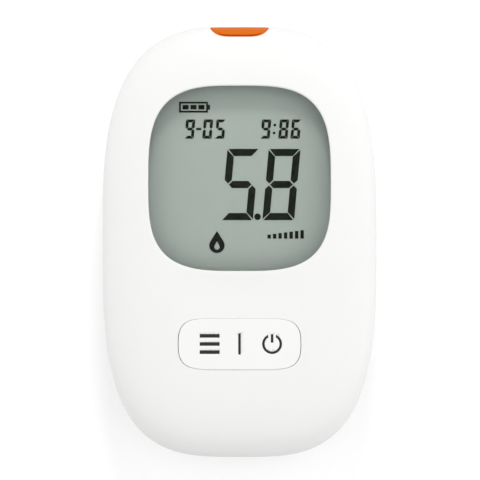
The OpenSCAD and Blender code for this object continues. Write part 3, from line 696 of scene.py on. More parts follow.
class Form:
    """A closed shape under construction, in millimetres."""

    def __init__(self) -> None:
        """Starts with an empty mesh."""
        self.bm = bmesh.new()

    @classmethod
    def skin(cls, rings: Sequence[np.ndarray], closed: bool = False) -> Form:
        """A solid through rings of equal count.

        Args:
            rings: the points of each ring, in order.
            closed: whether the last ring joins the first; otherwise both ends are filled.

        Returns:
            The solid.
        """
        form = cls()
        columns = len(rings[0])
        rows = len(rings) if closed else len(rings) - 1
        bmesh.ops.create_grid(form.bm, x_segments=columns, y_segments=rows, size=0.5)
        for vert in form.bm.verts:
            column = round((vert.co.x + 0.5) * columns) % columns
            row = round((vert.co.y + 0.5) * rows) % len(rings)
            vert.co = rings[row][column]
        bmesh.ops.remove_doubles(form.bm, verts=form.bm.verts, dist=1e-5)
        if not closed:
            bmesh.ops.holes_fill(form.bm, edges=form.bm.edges, sides=0)
        bmesh.ops.recalc_face_normals(form.bm, faces=form.bm.faces)
        return form

    @classmethod
    def block(cls, low: Point, high: Point) -> Form:
        """A block between two corners, for cutting or joining.

        Args:
            low: the lowest corner.
            high: the highest corner.

        Returns:
            The block.
        """
        form = cls()
        size = [h - l for l, h in zip(low, high)]
        middle = Vector([(h + l) / 2 for l, h in zip(low, high)])
        bmesh.ops.create_cube(form.bm, size=1,
                              matrix=Matrix.Translation(middle) @ Matrix.Diagonal((*size, 1)))
        return form

    @classmethod
    def bar(cls, diameter: float, start: Point, end: Point, segments: int = 48) -> Form:
        """A round bar between two points, for cutting or joining.

        Args:
            diameter: of the bar.
            start: the middle of one end.
            end: the middle of the other.
            segments: faces round the bar.

        Returns:
            The bar.
        """
        form = cls()
        run = Vector(end) - Vector(start)
        turn = run.to_track_quat("Z", "Y").to_matrix().to_4x4()
        middle = (Vector(start) + Vector(end)) / 2
        bmesh.ops.create_cone(form.bm, cap_ends=True, segments=segments, radius1=diameter / 2,
                              radius2=diameter / 2, depth=run.length,
                              matrix=Matrix.Translation(middle) @ turn)
        return form

    @classmethod
    def turned(cls, profile: Sequence[tuple[float, float]], segments: int = 48) -> Form:
        """A round solid about Z, from (radius, height) points whose two ends lie on the axis.

        Args:
            profile: the points, in order.
            segments: faces round the solid.

        Returns:
            The solid.
        """
        form = cls()
        verts = [form.bm.verts.new((radius, 0, z)) for radius, z in profile]
        edges = [form.bm.edges.new(pair) for pair in zip(verts, verts[1:])]
        bmesh.ops.spin(form.bm, geom=verts + edges, cent=(0, 0, 0), axis=(0, 0, 1),
                       angle=2 * math.pi, steps=segments, use_merge=True)
        bmesh.ops.remove_doubles(form.bm, verts=form.bm.verts, dist=1e-5)
        bmesh.ops.recalc_face_normals(form.bm, faces=form.bm.faces)
        return form

    @classmethod
    def wire(cls, diameter: float, path: Callable[[float], tuple[Vector, Vector, Vector]],
             steps: int, sides: int = 12) -> Form:
        """A round wire along a path.

        Args:
            diameter: of the wire.
            path: gives, for a share from 0 to 1, the wire's middle and two ways across it.
            steps: how many lengths the wire is made of.
            sides: faces round the wire.

        Returns:
            The wire.
        """
        rings = []
        for k in range(steps + 1):
            middle, first, second = path(k / steps)
            turns = [2 * math.pi * j / sides for j in range(sides)]
            rings.append(np.array([middle + (first * math.cos(a) + second * math.sin(a)) * diameter / 2
                                   for a in turns]))
        return cls.skin(rings)

    def moved(self, matrix: Matrix) -> Form:
        """Turns and shifts the mesh, and returns the form."""
        bmesh.ops.transform(self.bm, matrix=matrix, verts=self.bm.verts)
        return self

    def softened_along(self, width: float, segments: int) -> Form:
        """Rounds the edges that run along Y, and returns the form.

        Args:
            width: of the rounding.
            segments: faces across it.

        Returns:
            This form.
        """
        edges = [e for e in self.bm.edges
                 if abs((e.verts[1].co - e.verts[0].co).normalized().y) > 0.99]
        bmesh.ops.bevel(self.bm, geom=edges, offset=width, affect="EDGES", segments=segments,
                        profile=0.5, material=-1, clamp_overlap=True)
        return self

    def sliced(self, places: Sequence[float]) -> Form:
        """Adds edges where planes across X cut the mesh, and returns the form.

        Args:
            places: X of each plane.

        Returns:
            This form.
        """
        for x in places:
            geom = self.bm.verts[:] + self.bm.edges[:] + self.bm.faces[:]
            bmesh.ops.bisect_plane(self.bm, geom=geom, plane_co=(x, 0, 0), plane_no=(1, 0, 0))
        return self

    def with_(self, *others: Form) -> Form:
        """Takes the meshes of other forms in, as they are.

        Args:
            others: the forms, which stay.

        Returns:
            This form.
        """
        for other in others:
            spare = bpy.data.meshes.new("spare")
            other.bm.to_mesh(spare)
            self.bm.from_mesh(spare)
            bpy.data.meshes.remove(spare)
        return self

    def carved(self, *steps: tuple[Way, Form]) -> Form:
        """Works other forms on this one, in order, and returns the result.

        Args:
            steps: how each form works on the result so far, and the form.

        Returns:
            A new form.
        """
        base = self._shown("base")
        tools = [base]
        for way, other in steps:
            tool = other._shown("tool")
            tools.append(tool)
            modifier = base.modifiers.new(way.name, "BOOLEAN")
            modifier.operation = way.value
            modifier.solver = "EXACT"
            modifier.use_self = way is not Way.KEEP and len(other.islands()) > 1
            modifier.object = tool
        graph = bpy.context.evaluated_depsgraph_get()
        mesh = bpy.data.meshes.new_from_object(base.evaluated_get(graph))
        result = Form()
        result.bm.from_mesh(mesh)
        bmesh.ops.remove_doubles(result.bm, verts=result.bm.verts, dist=1e-4)
        bpy.data.meshes.remove(mesh)
        for tool in tools:
            spare = tool.data
            bpy.data.objects.remove(tool)
            bpy.data.meshes.remove(spare)
        return result

    def islands(self) -> list[int]:
        """The size of each separate part, in vertices."""
        seen: set[int] = set()
        sizes = []
        self.bm.verts.ensure_lookup_table()
        self.bm.verts.index_update()
        for vert in self.bm.verts:
            if vert.index in seen:
                continue
            stack, size = [vert], 0
            seen.add(vert.index)
            while stack:
                here = stack.pop()
                size += 1
                for edge in here.link_edges:
                    other = edge.other_vert(here)
                    if other.index not in seen:
                        seen.add(other.index)
                        stack.append(other)
            sizes.append(size)
        return sizes

    def _shown(self, name: str) -> bpy.types.Object:
        """An object of the scene with a copy of the mesh.

        Args:
            name: of the object.

        Returns:
            The object.
        """
        mesh = bpy.data.meshes.new(name)
        self.bm.to_mesh(mesh)
        made = bpy.data.objects.new(name, mesh)
        bpy.context.scene.collection.objects.link(made)
        return made


@dataclass(frozen=True)
class Dress:
    """Where a finished piece belongs: its body, its slot, its finish and what it stands for."""

    body: str
    slot: str
    finish: Finish
    stands_for: tuple[str, ...] = ()
    crease: float = 32.0      # edges sharper than this stay sharp, degrees


def finished(form: Form, name: str, dress: Dress) -> bpy.types.Object:
    """Makes a form a piece of the object, in metres.

    Args:
        form: the shape, in millimetres.
        name: the piece's name.
        dress: where it belongs and how it looks.

    Returns:
        The piece.
    """
    bmesh.ops.scale(form.bm, verts=form.bm.verts, vec=(MM, MM, MM))
    mesh = bpy.data.meshes.new(name)
    form.bm.to_mesh(mesh)
    form.bm.free()
    mesh.shade_smooth()
    mesh.set_sharp_from_angle(angle=math.radians(dress.crease))
    mesh.materials.append(dress.finish.material())
    piece = bpy.data.objects.new(name, mesh)
    bpy.context.scene.collection.objects.link(piece)
    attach(piece, dress.body)
    if dress.stands_for:
        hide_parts(*dress.stands_for)
    LOG.info("%s: %d faces", name, len(mesh.polygons))
    return piece


def merged(node: str) -> Form:
    """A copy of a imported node's mesh in millimetres, with its doubled points joined.

    Args:
        node: the node's name.

    Returns:
        The form.
    """
    form = Form()
    form.bm.from_mesh(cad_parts[node].data)
    bmesh.ops.scale(form.bm, verts=form.bm.verts, vec=(1 / MM,) * 3)
    bmesh.ops.remove_doubles(form.bm, verts=form.bm.verts, dist=1e-3)
    return form


def dress_node(node: str, finish: Finish) -> None:
    """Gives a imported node's own mesh a finish.

    Args:
        node: the node's name.
        finish: the new finish.
    """
    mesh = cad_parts[node].data
    mesh.materials.clear()
    mesh.materials.append(finish.material())
    LOG.info("%s: packed mesh, %s", node, finish.name)


@dataclass(frozen=True)
class Oval:
    """Two superellipse halves that meet on their widest row."""

    half: float
    up: float
    down: float
    power_up: tuple[float, float]
    power_down: tuple[float, float]
    row: float = 0.0          # Y of the widest row

    def grown(self, by: float) -> Oval:
        """The same outline with every reach longer by that much."""
        return Oval(self.half + by, self.up + by, self.down + by, self.power_up, self.power_down,
                    self.row)

    @property
    def top(self) -> float:
        """The outline's highest Y."""
        return self.row + self.up

    @property
    def bottom(self) -> float:
        """The outline's lowest Y."""
        return self.row - self.down

    def ring(self, count: int) -> np.ndarray:
        """Points round the outline, as rows of x and y.

        Args:
            count: of the points.

        Returns:
            The points, in order.
        """
        turn = np.linspace(0, 2 * math.pi, count, endpoint=False)
        c, s = np.cos(turn), np.sin(turn)
        upper = s >= 0
        px = np.where(upper, self.power_up[0], self.power_down[0])
        py = np.where(upper, self.power_up[1], self.power_down[1])
        reach = np.where(upper, self.up, self.down)
        x = self.half * np.sign(c) * np.abs(c) ** (2 / px)
        y = self.row + reach * np.sign(s) * np.abs(s) ** (2 / py)
        return np.stack([x, y], axis=1)

    def size_at(self, x: np.ndarray, y: np.ndarray, inset: np.ndarray) -> np.ndarray:
        """Below 1 inside the outline drawn in by inset, above 1 outside it.

        Args:
            x: of the points.
            y: of the points.
            inset: how far the outline is drawn in.

        Returns:
            A size for each point.
        """
        upper = y >= self.row
        px = np.where(upper, self.power_up[0], self.power_down[0])
        py = np.where(upper, self.power_up[1], self.power_down[1])
        reach = np.where(upper, self.up, self.down) - inset
        return (np.abs(x) / np.maximum(self.half - inset, 1e-9)) ** px + (
            np.abs(y - self.row) / np.maximum(reach, 1e-9)) ** py

    def inset_at(self, x: np.ndarray, y: np.ndarray) -> np.ndarray:
        """How far the outline is drawn in where it passes through each point.

        Args:
            x: of the points.
            y: of the points.

        Returns:
            An inset for each point.
        """
        low = np.zeros_like(x)
        high = np.full_like(x, self.half - 1e-6)
        for _ in range(40):
            middle = (low + high) / 2
            inside = self.size_at(x, y, middle) < 1
            low = np.where(inside, middle, low)
            high = np.where(inside, high, middle)
        return low

    def reach_from(self, centre: tuple[float, float], turn: np.ndarray) -> np.ndarray:
        """Distance from a point inside to the outline, in each direction.

        Args:
            centre: the point inside.
            turn: the directions, in radians.

        Returns:
            A distance for each direction.
        """
        low = np.zeros_like(turn)
        high = np.full_like(turn, 2 * (self.up + self.down))
        nothing = np.zeros_like(turn)
        for _ in range(44):
            middle = (low + high) / 2
            x = centre[0] + middle * np.cos(turn)
            y = centre[1] + middle * np.sin(turn)
            inside = self.size_at(x, y, nothing) < 1
            low = np.where(inside, middle, low)
            high = np.where(inside, high, middle)
        return low


def smooth_through(places: Sequence[float], heights: Sequence[float], at: np.ndarray) -> np.ndarray:
    """A smooth curve through points, level at its ends and beyond them.

    Args:
        places: of the points, rising.
        heights: of the points.
        at: where the curve is wanted.

    Returns:
        The curve's heights.
    """
    slopes = np.gradient(np.array(heights), np.array(places))
    slopes[-1] = 0.0
    k = np.clip(np.searchsorted(places, at) - 1, 0, len(places) - 2)
    start, step = np.take(places, k), np.take(places, k + 1) - np.take(places, k)
    t = np.clip((at - start) / step, 0, 1)
    h0, h1 = np.take(heights, k), np.take(heights, k + 1)
    bend = t * (1 - t) * ((1 - t) * slopes[k] - t * slopes[k + 1]) * step
    return h0 + (h1 - h0) * t * t * (3 - 2 * t) + bend


def raised(outline: np.ndarray, z: float | np.ndarray) -> np.ndarray:
    """Points of an outline at a height, as rows of x, y and z."""
    return np.column_stack([outline, np.broadcast_to(z, len(outline))])


def rounded(half_x: float, half_y: float, radius: float, count: int = 8) -> np.ndarray:
    """A rectangle with round corners about the origin, as rows of x and y.

    Args:
        half_x: half the width.
        half_y: half the depth.
        radius: of the corners.
        count: points on a corner.

    Returns:
        The points, in order.
    """
    turn = np.linspace(0, math.pi / 2, count)
    corner = np.column_stack([np.cos(turn), np.sin(turn)]) * radius + (half_x - radius, half_y - radius)
    upper = np.concatenate([corner, corner[::-1] * (-1, 1)])
    return np.concatenate([upper, upper * (-1, -1)])


def plate(outline: Callable[[float], np.ndarray], steps: Sequence[tuple[float, float]]) -> Form:
    """A plate whose outline grows and shrinks with its height.

    Args:
        outline: gives the outline grown by some millimetres.
        steps: (growth, height) of each ring, lowest first.

    Returns:
        The plate.
    """
    return Form.skin([raised(outline(grow), z) for grow, z in steps])


# The case


@dataclass(frozen=True)
class CaseShape:
    """The egg shape that both covers, the battery cover and the strip port share."""

    length: float = 96.0
    width: float = 61.0
    row: float = 1.7          # Y of the widest row
    power_up: float = 2.97
    power_down: float = 3.32
    seam_z: float = 12.0
    front_power: float = 4.0
    top_z: float = 24.0
    back_round: float = 9.0
    back_power: float = 2.2

    @property
    def outline(self) -> Oval:
        """The case's outline on its widest level."""
        return Oval(self.width / 2, self.length / 2 - self.row, self.length / 2 + self.row,
                    (self.power_up,) * 2, (self.power_down,) * 2, self.row)

    def front_step(self, turn: float, skin: float = 0.0) -> tuple[float, float]:
        """Inset and height of the front, drawn in by skin, at a turn from 0 to 90 degrees.

        Args:
            turn: 0 at the seam, 90 at the top.
            skin: how far the front is drawn in.

        Returns:
            The inset and the height.
        """
        c, s = math.cos(math.radians(turn)), math.sin(math.radians(turn))
        half = self.width / 2 - skin
        inset = skin + half * (1 - c ** (2 / self.front_power))
        return inset, self.seam_z + (self.top_z - skin - self.seam_z) * s ** (2 / self.front_power)

    def back_step(self, turn: float, skin: float = 0.0) -> tuple[float, float]:
        """Inset and height of the back, drawn in by skin, at a turn from 0 to 90 degrees.

        Args:
            turn: 0 at the seam, 90 at the bottom.
            skin: how far the back is drawn in.

        Returns:
            The inset and the height.
        """
        c, s = abs(math.cos(math.radians(turn))), math.sin(math.radians(turn))
        inset = skin + self.back_round * (1 - c ** (2 / self.back_power))
        return inset, self.seam_z - (self.seam_z - skin) * s ** (2 / self.back_power)

    def front_height(self, x: np.ndarray, y: np.ndarray, skin: float = 0.0) -> np.ndarray:
        """Height of the front, drawn in by skin, over each point.

        Args:
            x: of the points.
            y: of the points.
            skin: how far the front is drawn in.

        Returns:
            A height for each point.
        """
        half = self.width / 2 - skin
        inset = np.clip(self.outline.inset_at(x, y) - skin, 0, half)
        share = 1 - (1 - inset / half) ** self.front_power
        return self.seam_z + (self.top_z - skin - self.seam_z) * share ** (1 / self.front_power)

    def strip_end(self, x: float, z: float) -> float:
        """Y of the strip end's surface at a place seen along the case.

        Args:
            x: of the place.
            z: of the place.

        Returns:
            The surface's Y.
        """
        reach, power = self.width / 2, self.front_power
        rise = (z - self.seam_z) / (self.top_z - self.seam_z)
        if z < self.seam_z:
            reach, power, rise = self.back_round, self.back_power, (self.seam_z - z) / self.seam_z
        inset = reach * (1 - (1 - rise ** power) ** (1 / power))
        ring = self.outline.grown(-inset)
        side = (1 - (abs(x) / ring.half) ** self.power_up) ** (1 / self.power_up)
        return self.row + ring.up * side

    def rings(self, steps: Sequence[tuple[float, float]], count: int) -> list[np.ndarray]:
        """Rings round the case, from (inset, height) steps."""
        return [raised(self.outline.grown(-inset).ring(count), z) for inset, z in steps]

    def body(self, skin: float, count: int = 360, turns: int = 30) -> Form:
        """The whole case as a solid, drawn in by skin."""
        back = [self.back_step(90 * (turns - k) / turns, skin) for k in range(turns)]
        front = [self.front_step(88 * k / turns, skin) for k in range(turns + 1)]
        return Form.skin(self.rings(back + front, count))


CASE = CaseShape()


@dataclass(frozen=True)
class WindowShape:
    """The rounded square opening over the display."""

    centre_y: float = 12.7    # Y of its widest row
    half: float = 20.2
    up: float = 21.74
    down: float = 19.28
    power: float = 3.35

    @property
    def outline(self) -> Oval:
        """The opening's outline."""
        return Oval(self.half, self.up, self.down, (self.power,) * 2, (self.power,) * 2,
                    self.centre_y)


@dataclass(frozen=True)
class KeyShape:
    """The long rounded opening of the key and what it turns on."""

    centre_y: float = -22.7
    length: float = 27.0
    depth: float = 11.1
    power_x: float = 6.6
    power_y: float = 2.83
    clear: float = 0.25       # gap round the flange in its pocket
    line: float = 0.13        # from the key's nominal outline to the opening
    swell: float = 0.1        # how much deeper than nominal the cap is; its long sides don't swing
    flange: float = 1.0       # reach of the flange past the outline
    flange_top: float = 21.315
    pocket_z: float = 22.05
    pin_z: float = 20.42
    pin_d: float = 1.6

    @property
    def outline(self) -> Oval:
        """The key's own outline."""
        return Oval(self.length / 2, self.depth / 2, self.depth / 2,
                    (self.power_x, self.power_y), (self.power_x, self.power_y), self.centre_y)


@dataclass(frozen=True)
class PortShape:
    """The arch of the strip port, seen along the case."""

    width: float = 13.4
    power: float = 4.6
    bottom_z: float = 9.2
    middle_z: float = 13.2
    flange_y: float = 44.8    # where the flange ends and the narrower face starts
    flange_back: float = 43.6
    flange_half: float = 8.2
    flange_z: tuple[float, float] = (8.2, 17.4)
    room: float = 0.2         # round the flange
    face_y: float = 47.75
    sink: float = 0.25        # of the face under the case's surface
    reach: float = 2.6        # of the port over the front, from the case's outline

    @property
    def top_z(self) -> float:
        """Height where the port's inner edge meets the front."""
        share = 1 - (1 - self.reach / (CASE.width / 2)) ** CASE.front_power
        return CASE.seam_z + (CASE.top_z - CASE.seam_z) * share ** (1 / CASE.front_power)

    def arch(self, grow: float, count: int = 64) -> tuple[np.ndarray, np.ndarray]:
        """X and Z of the arch from one foot to the other, grown by some margin.

        Args:
            grow: the margin.
            count: points on the arch.

        Returns:
            The X and the Z of the points.
        """
        turn = np.linspace(0, math.pi, count)
        half = self.width / 2 + grow
        x = half * np.sign(np.cos(turn)) * np.abs(np.cos(turn)) ** (2 / self.power)
        rise = self.top_z - self.middle_z + grow
        z = self.middle_z + rise * np.sin(turn) ** (2 / self.power)
        low = self.bottom_z - grow
        return np.concatenate([[half], x, [-half]]), np.concatenate([[low], z, [low]])

    def prism(self, grow: float, y0: float, y1: float) -> Form:
        """The arch run along Y between two places, grown by some margin."""
        x, z = self.arch(grow)
        return Form.skin([np.column_stack([x, np.full_like(x, y), z]) for y in (y0, y1)])

    def flange_bay(self, z0: float, z1: float) -> Form:
        """The cutter of the flange's bay in a cover, between two heights."""
        half = self.flange_half + self.room
        return Form.block((-half, self.flange_back - self.room, z0),
                          (half, self.flange_y + self.room / 2, z1))

    def edge(self, share: float) -> tuple[Vector, Vector, Vector]:
        """A point of the line where the port's face meets the case, and two ways across the line.

        Args:
            share: of the arch's length, 0 to 1.

        Returns:
            The point and the two ways.
        """
        points = [self._edge_point(np.clip(share + d, 0, 1)) for d in (-0.004, 0.0, 0.004)]
        along = (points[2] - points[0]).normalized()
        first = along.cross(Vector((0, 1, 0.3))).normalized()
        return points[1], first, along.cross(first)

    def _edge_point(self, share: float) -> Vector:
        """The point at a share of the arch's length, on the case's surface.

        Args:
            share: of the arch's length, 0 to 1.

        Returns:
            The point.
        """
        x, z = self.arch(0.0)
        length = np.concatenate([[0], np.cumsum(np.hypot(np.diff(x), np.diff(z)))])
        x, z = (float(np.interp(share * length[-1], length, part)) for part in (x, z))
        return Vector((x, CASE.strip_end(x, z), z))


WINDOW = WindowShape()
KEY = KeyShape()
PORT = PortShape()
BEYOND = 60.0                 # a reach past either end of the case
BOARD_TOP_Z = 15.3            # top of the circuit board
CASE_SCREWS = ((14.0, 39.5), (-14.0, 39.5), (19.5, -26.0), (-19.5, -26.0))
BOARD_SCREWS = ((24.5, -2.0), (24.5, 22.0), (-24.5, -2.0), (-24.5, 22.0))


@dataclass
class FrontCover:
    """The white front of the case, with its window, key opening and port notch."""

    finish: Finish
    wall: float = 2.0
    rim_round: float = 0.35   # rounding of the window's edge
    edge: float = 0.12        # bevel along the seam
    key_round: float = 0.06   # rounding of the key opening's edge
    brow: float = 7.0         # length of the dip between the strip end and the window
    brow_sink: float = 0.15
    brow_half: float = 17.0
    lip: tuple[float, ...] = (0.0, 1.4, 2.8, 4.2, 5.8, 8.0, 10.4)  # distances below the window
    lip_rise: tuple[float, ...] = (0.17, -0.02, -0.14, -0.2, -0.22, -0.1, 0.0)
    lip_inset: float = 1.0    # of the seam's lip
    lip_h: float = 1.0
    fit: float = 0.1
    tower_d: float = 5.2      # screw towers
    post_d: float = 3.4       # board posts
    case_pilot: Point = (2.04, 11.0, 19.0)  # diameter and two heights of a tower's hole
    board_pilot: Point = (1.64, 14.0, 19.5)
    lug_y: float = 7.1
    lug_t: float = 1.6
    lug_half: float = 2.2
    lug_drop: float = 1.6     # from the pin's middle to a lug's lower end
    pin_slot: float = 0.58    # half the width of the slot that the pin snaps through
    pane_reach: float = 2.2   # from the window's outline to the side of the pane's seat
    pane_seat: tuple[float, float] = (20.3, 21.8)
    gasket_bay: tuple[Point, Point] = ((-21.5, -10.4, 19.1), (21.5, 35.8, 20.5))
    display_bay: tuple[Point, Point] = ((-22.5, -11.4, 13.9), (22.5, 36.8, 19.3))
    columns: int = 384
    border_rings: int = 34    # over the rounded border
    border_turn: tuple[float, float] = (0.4, 56.0)  # where those rings start and end, degrees
    front_rings: int = 36     # from the border to the window
    inner_rings: int = 14     # on each stretch of the inner side
    foot_turn: float = 52.0   # where the inner side turns down to the seam, degrees

    def build(self) -> bpy.types.Object:
        """Makes the cover and returns the piece."""
        shell = self._shell().carved((Way.ADD, self._inside()), (Way.CUT, self._cutters()))
        return finished(shell, "front_cover_shell",
                        Dress("case", "case_white", self.finish, ("front_cover",)))

    def _shell(self) -> Form:
        """The bare shell as one skin of rings about the window: outside, rim, inside, seam."""
        turn = np.linspace(0, 2 * math.pi, self.columns, endpoint=False)
        centre = (0.0, WINDOW.centre_y)
        ways = np.column_stack([np.cos(turn), np.sin(turn)])

        def at(distance: np.ndarray) -> np.ndarray:
            """Points at a distance from the window's centre in each direction."""
            return ways * distance[:, None] + centre

        def case_ring(inset: float, z: float) -> np.ndarray:
            """A ring on the case's outline drawn in by inset."""
            return raised(at(CASE.outline.grown(-inset).reach_from(centre, turn)), z)

        def window_ring(grow: float, z: np.ndarray | float) -> np.ndarray:
            """A ring round the window's outline grown by some margin."""
            return raised(at(WINDOW.outline.grown(grow).reach_from(centre, turn)), z)

        def crossing(first: np.ndarray, last: np.ndarray, count: int,
                     height: Callable[[np.ndarray], np.ndarray]) -> list[np.ndarray]:
            """Rings on a surface between two rings, both left out.

            Args:
                first: the ring where they start.
                last: the ring where they end.
                count: of the steps between these.
                height: the surface's height over points.

            Returns:
                The rings.
            """
            rings = []
            for k in range(1, count):
                flat = first[:, :2] + (last[:, :2] - first[:, :2]) * k / count
                rings.append(raised(flat, height(flat)))
            return rings

        def under(flat: np.ndarray) -> np.ndarray:
            """Height of the wall's inner side."""
            return CASE.front_height(flat[:, 0], flat[:, 1], self.wall)

        seam = CASE.seam_z
        rings = [case_ring(self.edge, seam + 0.02), case_ring(self.edge * 0.3, seam + self.edge * 0.6),
                 case_ring(0, seam + self.edge * 1.6)]
        start, end = self.border_turn
        for k in range(self.border_rings):
            inset, z = CASE.front_step(start + (end - start) * ((k + 1) / self.border_rings) ** 1.25)
            rings.append(case_ring(inset, z))
        rim = window_ring(self.rim_round, 0.0)
        rim[:, 2] = self._height(rim)
        rings += crossing(rings[-1], rim, self.front_rings, self._height)
        for k in range(7):
            a = math.radians(90 * k / 6)
            grow = self.rim_round * (1 - math.sin(a))
            rings.append(window_ring(grow, rim[:, 2] - self.rim_round * (1 - math.cos(a))))
        inner = window_ring(0, 0.0)
        inner[:, 2] = under(inner)
        rings.append(inner)
        inset, z = CASE.front_step(self.foot_turn, self.wall)
        foot = case_ring(inset, z)
        rings += crossing(inner, foot, self.inner_rings, under)
        for k in range(self.inner_rings):
            lowered = (self.foot_turn - 2) * k / (self.inner_rings - 1)
            inset, z = CASE.front_step(self.foot_turn - lowered, self.wall)
            rings.append(case_ring(inset, z))
        rabbet = self.lip_inset - self.fit / 2
        rings += [case_ring(self.wall, seam + self.lip_h + self.fit),
                  case_ring(rabbet, seam + self.lip_h + self.fit),
                  case_ring(rabbet, seam + 0.02)]
        return Form.skin(rings, closed=True)

    def _inside(self) -> Form:
        """Screw towers, board posts and the lugs of the key's pin, cut off inside the wall."""
        top = CASE.top_z
        parts = [Form.bar(self.tower_d, (x, y, CASE.seam_z + 0.01), (x, y, top))
                 for x, y in CASE_SCREWS]
        parts += [Form.bar(self.post_d, (x, y, BOARD_TOP_Z), (x, y, top)) for x, y in BOARD_SCREWS]
        for side in (-1, 1):
            y = KEY.centre_y + side * (self.lug_y + self.lug_t / 2)
            parts.append(Form.block((-self.lug_half, y - self.lug_t / 2, KEY.pin_z - self.lug_drop),
                                    (self.lug_half, y + self.lug_t / 2, top)))
        return parts[0].with_(*parts[1:]).carved((Way.KEEP, CASE.body(self.wall / 2, 120, 12)))

    def _cutters(self) -> Form:
        """What is cut out of the shell and its inside."""
        room = KEY.flange + KEY.clear
        reach = self.lug_y + self.lug_t + 0.5
        y0, y1 = KEY.centre_y - reach, KEY.centre_y + reach
        below = CASE.seam_z - 1
        cut = self._key_opening()
        cut.with_(plate(lambda grow: KEY.outline.grown(grow).ring(96),
                        [(room, CASE.seam_z + 1.5), (room, KEY.pocket_z)]),
                  Form.bar(KEY.pin_d + self.fit, (0, y0, KEY.pin_z), (0, y1, KEY.pin_z)),
                  Form.block((-self.pin_slot, y0, below), (self.pin_slot, y1, KEY.pin_z)),
                  plate(lambda grow: WINDOW.outline.grown(grow).ring(128),
                        [(self.pane_reach, z) for z in self.pane_seat]),
                  Form.block(*self.gasket_bay),
                  Form.block(*self.display_bay),
                  PORT.prism(self.fit / 2, PORT.flange_y, BEYOND),
                  PORT.flange_bay(below, PORT.flange_z[1] + PORT.room))
        for (diameter, z0, z1), places in ((self.case_pilot, CASE_SCREWS),
                                           (self.board_pilot, BOARD_SCREWS)):
            cut.with_(*(Form.bar(diameter, (x, y, z0), (x, y, z1)) for x, y in places))
        return cut

    def _key_opening(self) -> Form:
        """The cutter of the key's opening, which flares to round the opening's edge."""
        flat = KEY.outline.grown(KEY.line).ring(192)
        top = self._height(flat)
        soft = self.key_round
        rings = [raised(flat, CASE.seam_z), raised(flat, top - soft)]
        for k in range(1, 6):
            a = math.radians(15 * k)
            wide = KEY.outline.grown(KEY.line + soft * (1 - math.cos(a))).ring(192)
            rings.append(raised(wide, top - soft + soft * math.sin(a)))
        rings.append(raised(KEY.outline.grown(KEY.line + 0.6).ring(192), top + 0.5))
        return Form.skin(rings)

    def _height(self, flat: np.ndarray) -> np.ndarray:
        """Height of the outside over each point: the case, sunk above the window, raised below.

        Args:
            flat: the points, as rows of x and y.

        Returns:
            A height for each point.
        """
        x, y = flat[:, 0], flat[:, 1]
        level = CASE.front_height(x, y)
        middle = np.clip(1 - (x / self.brow_half) ** 2, 0, 1) ** 2
        above = np.clip(1 - (y - WINDOW.outline.top) / self.brow, 0, 1) * (y > WINDOW.centre_y)
        below = np.maximum(WINDOW.outline.bottom - y, 0) + (y > WINDOW.centre_y) * self.lip[-1]
        rise = smooth_through(self.lip, self.lip_rise, below)
        return level + middle * (rise - self.brow_sink * above ** 2)


@dataclass(frozen=True)
class DoorShape:
    """The battery cover's outline from above: straight sides and a rounded upper end."""

    width: float = 26.0
    top_y: float = 8.0
    corner: float = 6.0
    face_z: float = 0.2       # height of its outer face
    top_z: float = 1.7
    lip_z: float = 0.95       # top of the visible lip
    tongue: float = 1.0
    gap: float = 0.1
    end_y: float = -41.6      # where its turned-up end starts
    end_z: float = 6.5

    def ring(self, grow: float) -> np.ndarray:
        """The outline grown by some margin, open far beyond the battery end.

        Args:
            grow: the margin.

        Returns:
            The points, in order.
        """
        half, top, r = self.width / 2 + grow, self.top_y + grow, self.corner + grow
        turn = np.linspace(0, math.pi / 2, 13)
        right = np.column_stack([half - r + r * np.cos(turn), top - r + r * np.sin(turn)])
        left = right[::-1] * (-1, 1)
        return np.concatenate([[[half, -BEYOND]], right, left, [[-half, -BEYOND]]])

    def prism(self, grow: float, z0: float, z1: float) -> Form:
        """The outline run up between two heights."""
        return plate(self.ring, [(grow, z0), (grow, z1)])


DOOR = DoorShape()
CELL_X = 5.5                  # of a cell's middle, to either side
BAY_HALF = 11.1               # half the width of the battery bay
BAY_Y = (-40.4, 6.2)
BAY_Z = (1.7, 12.7)


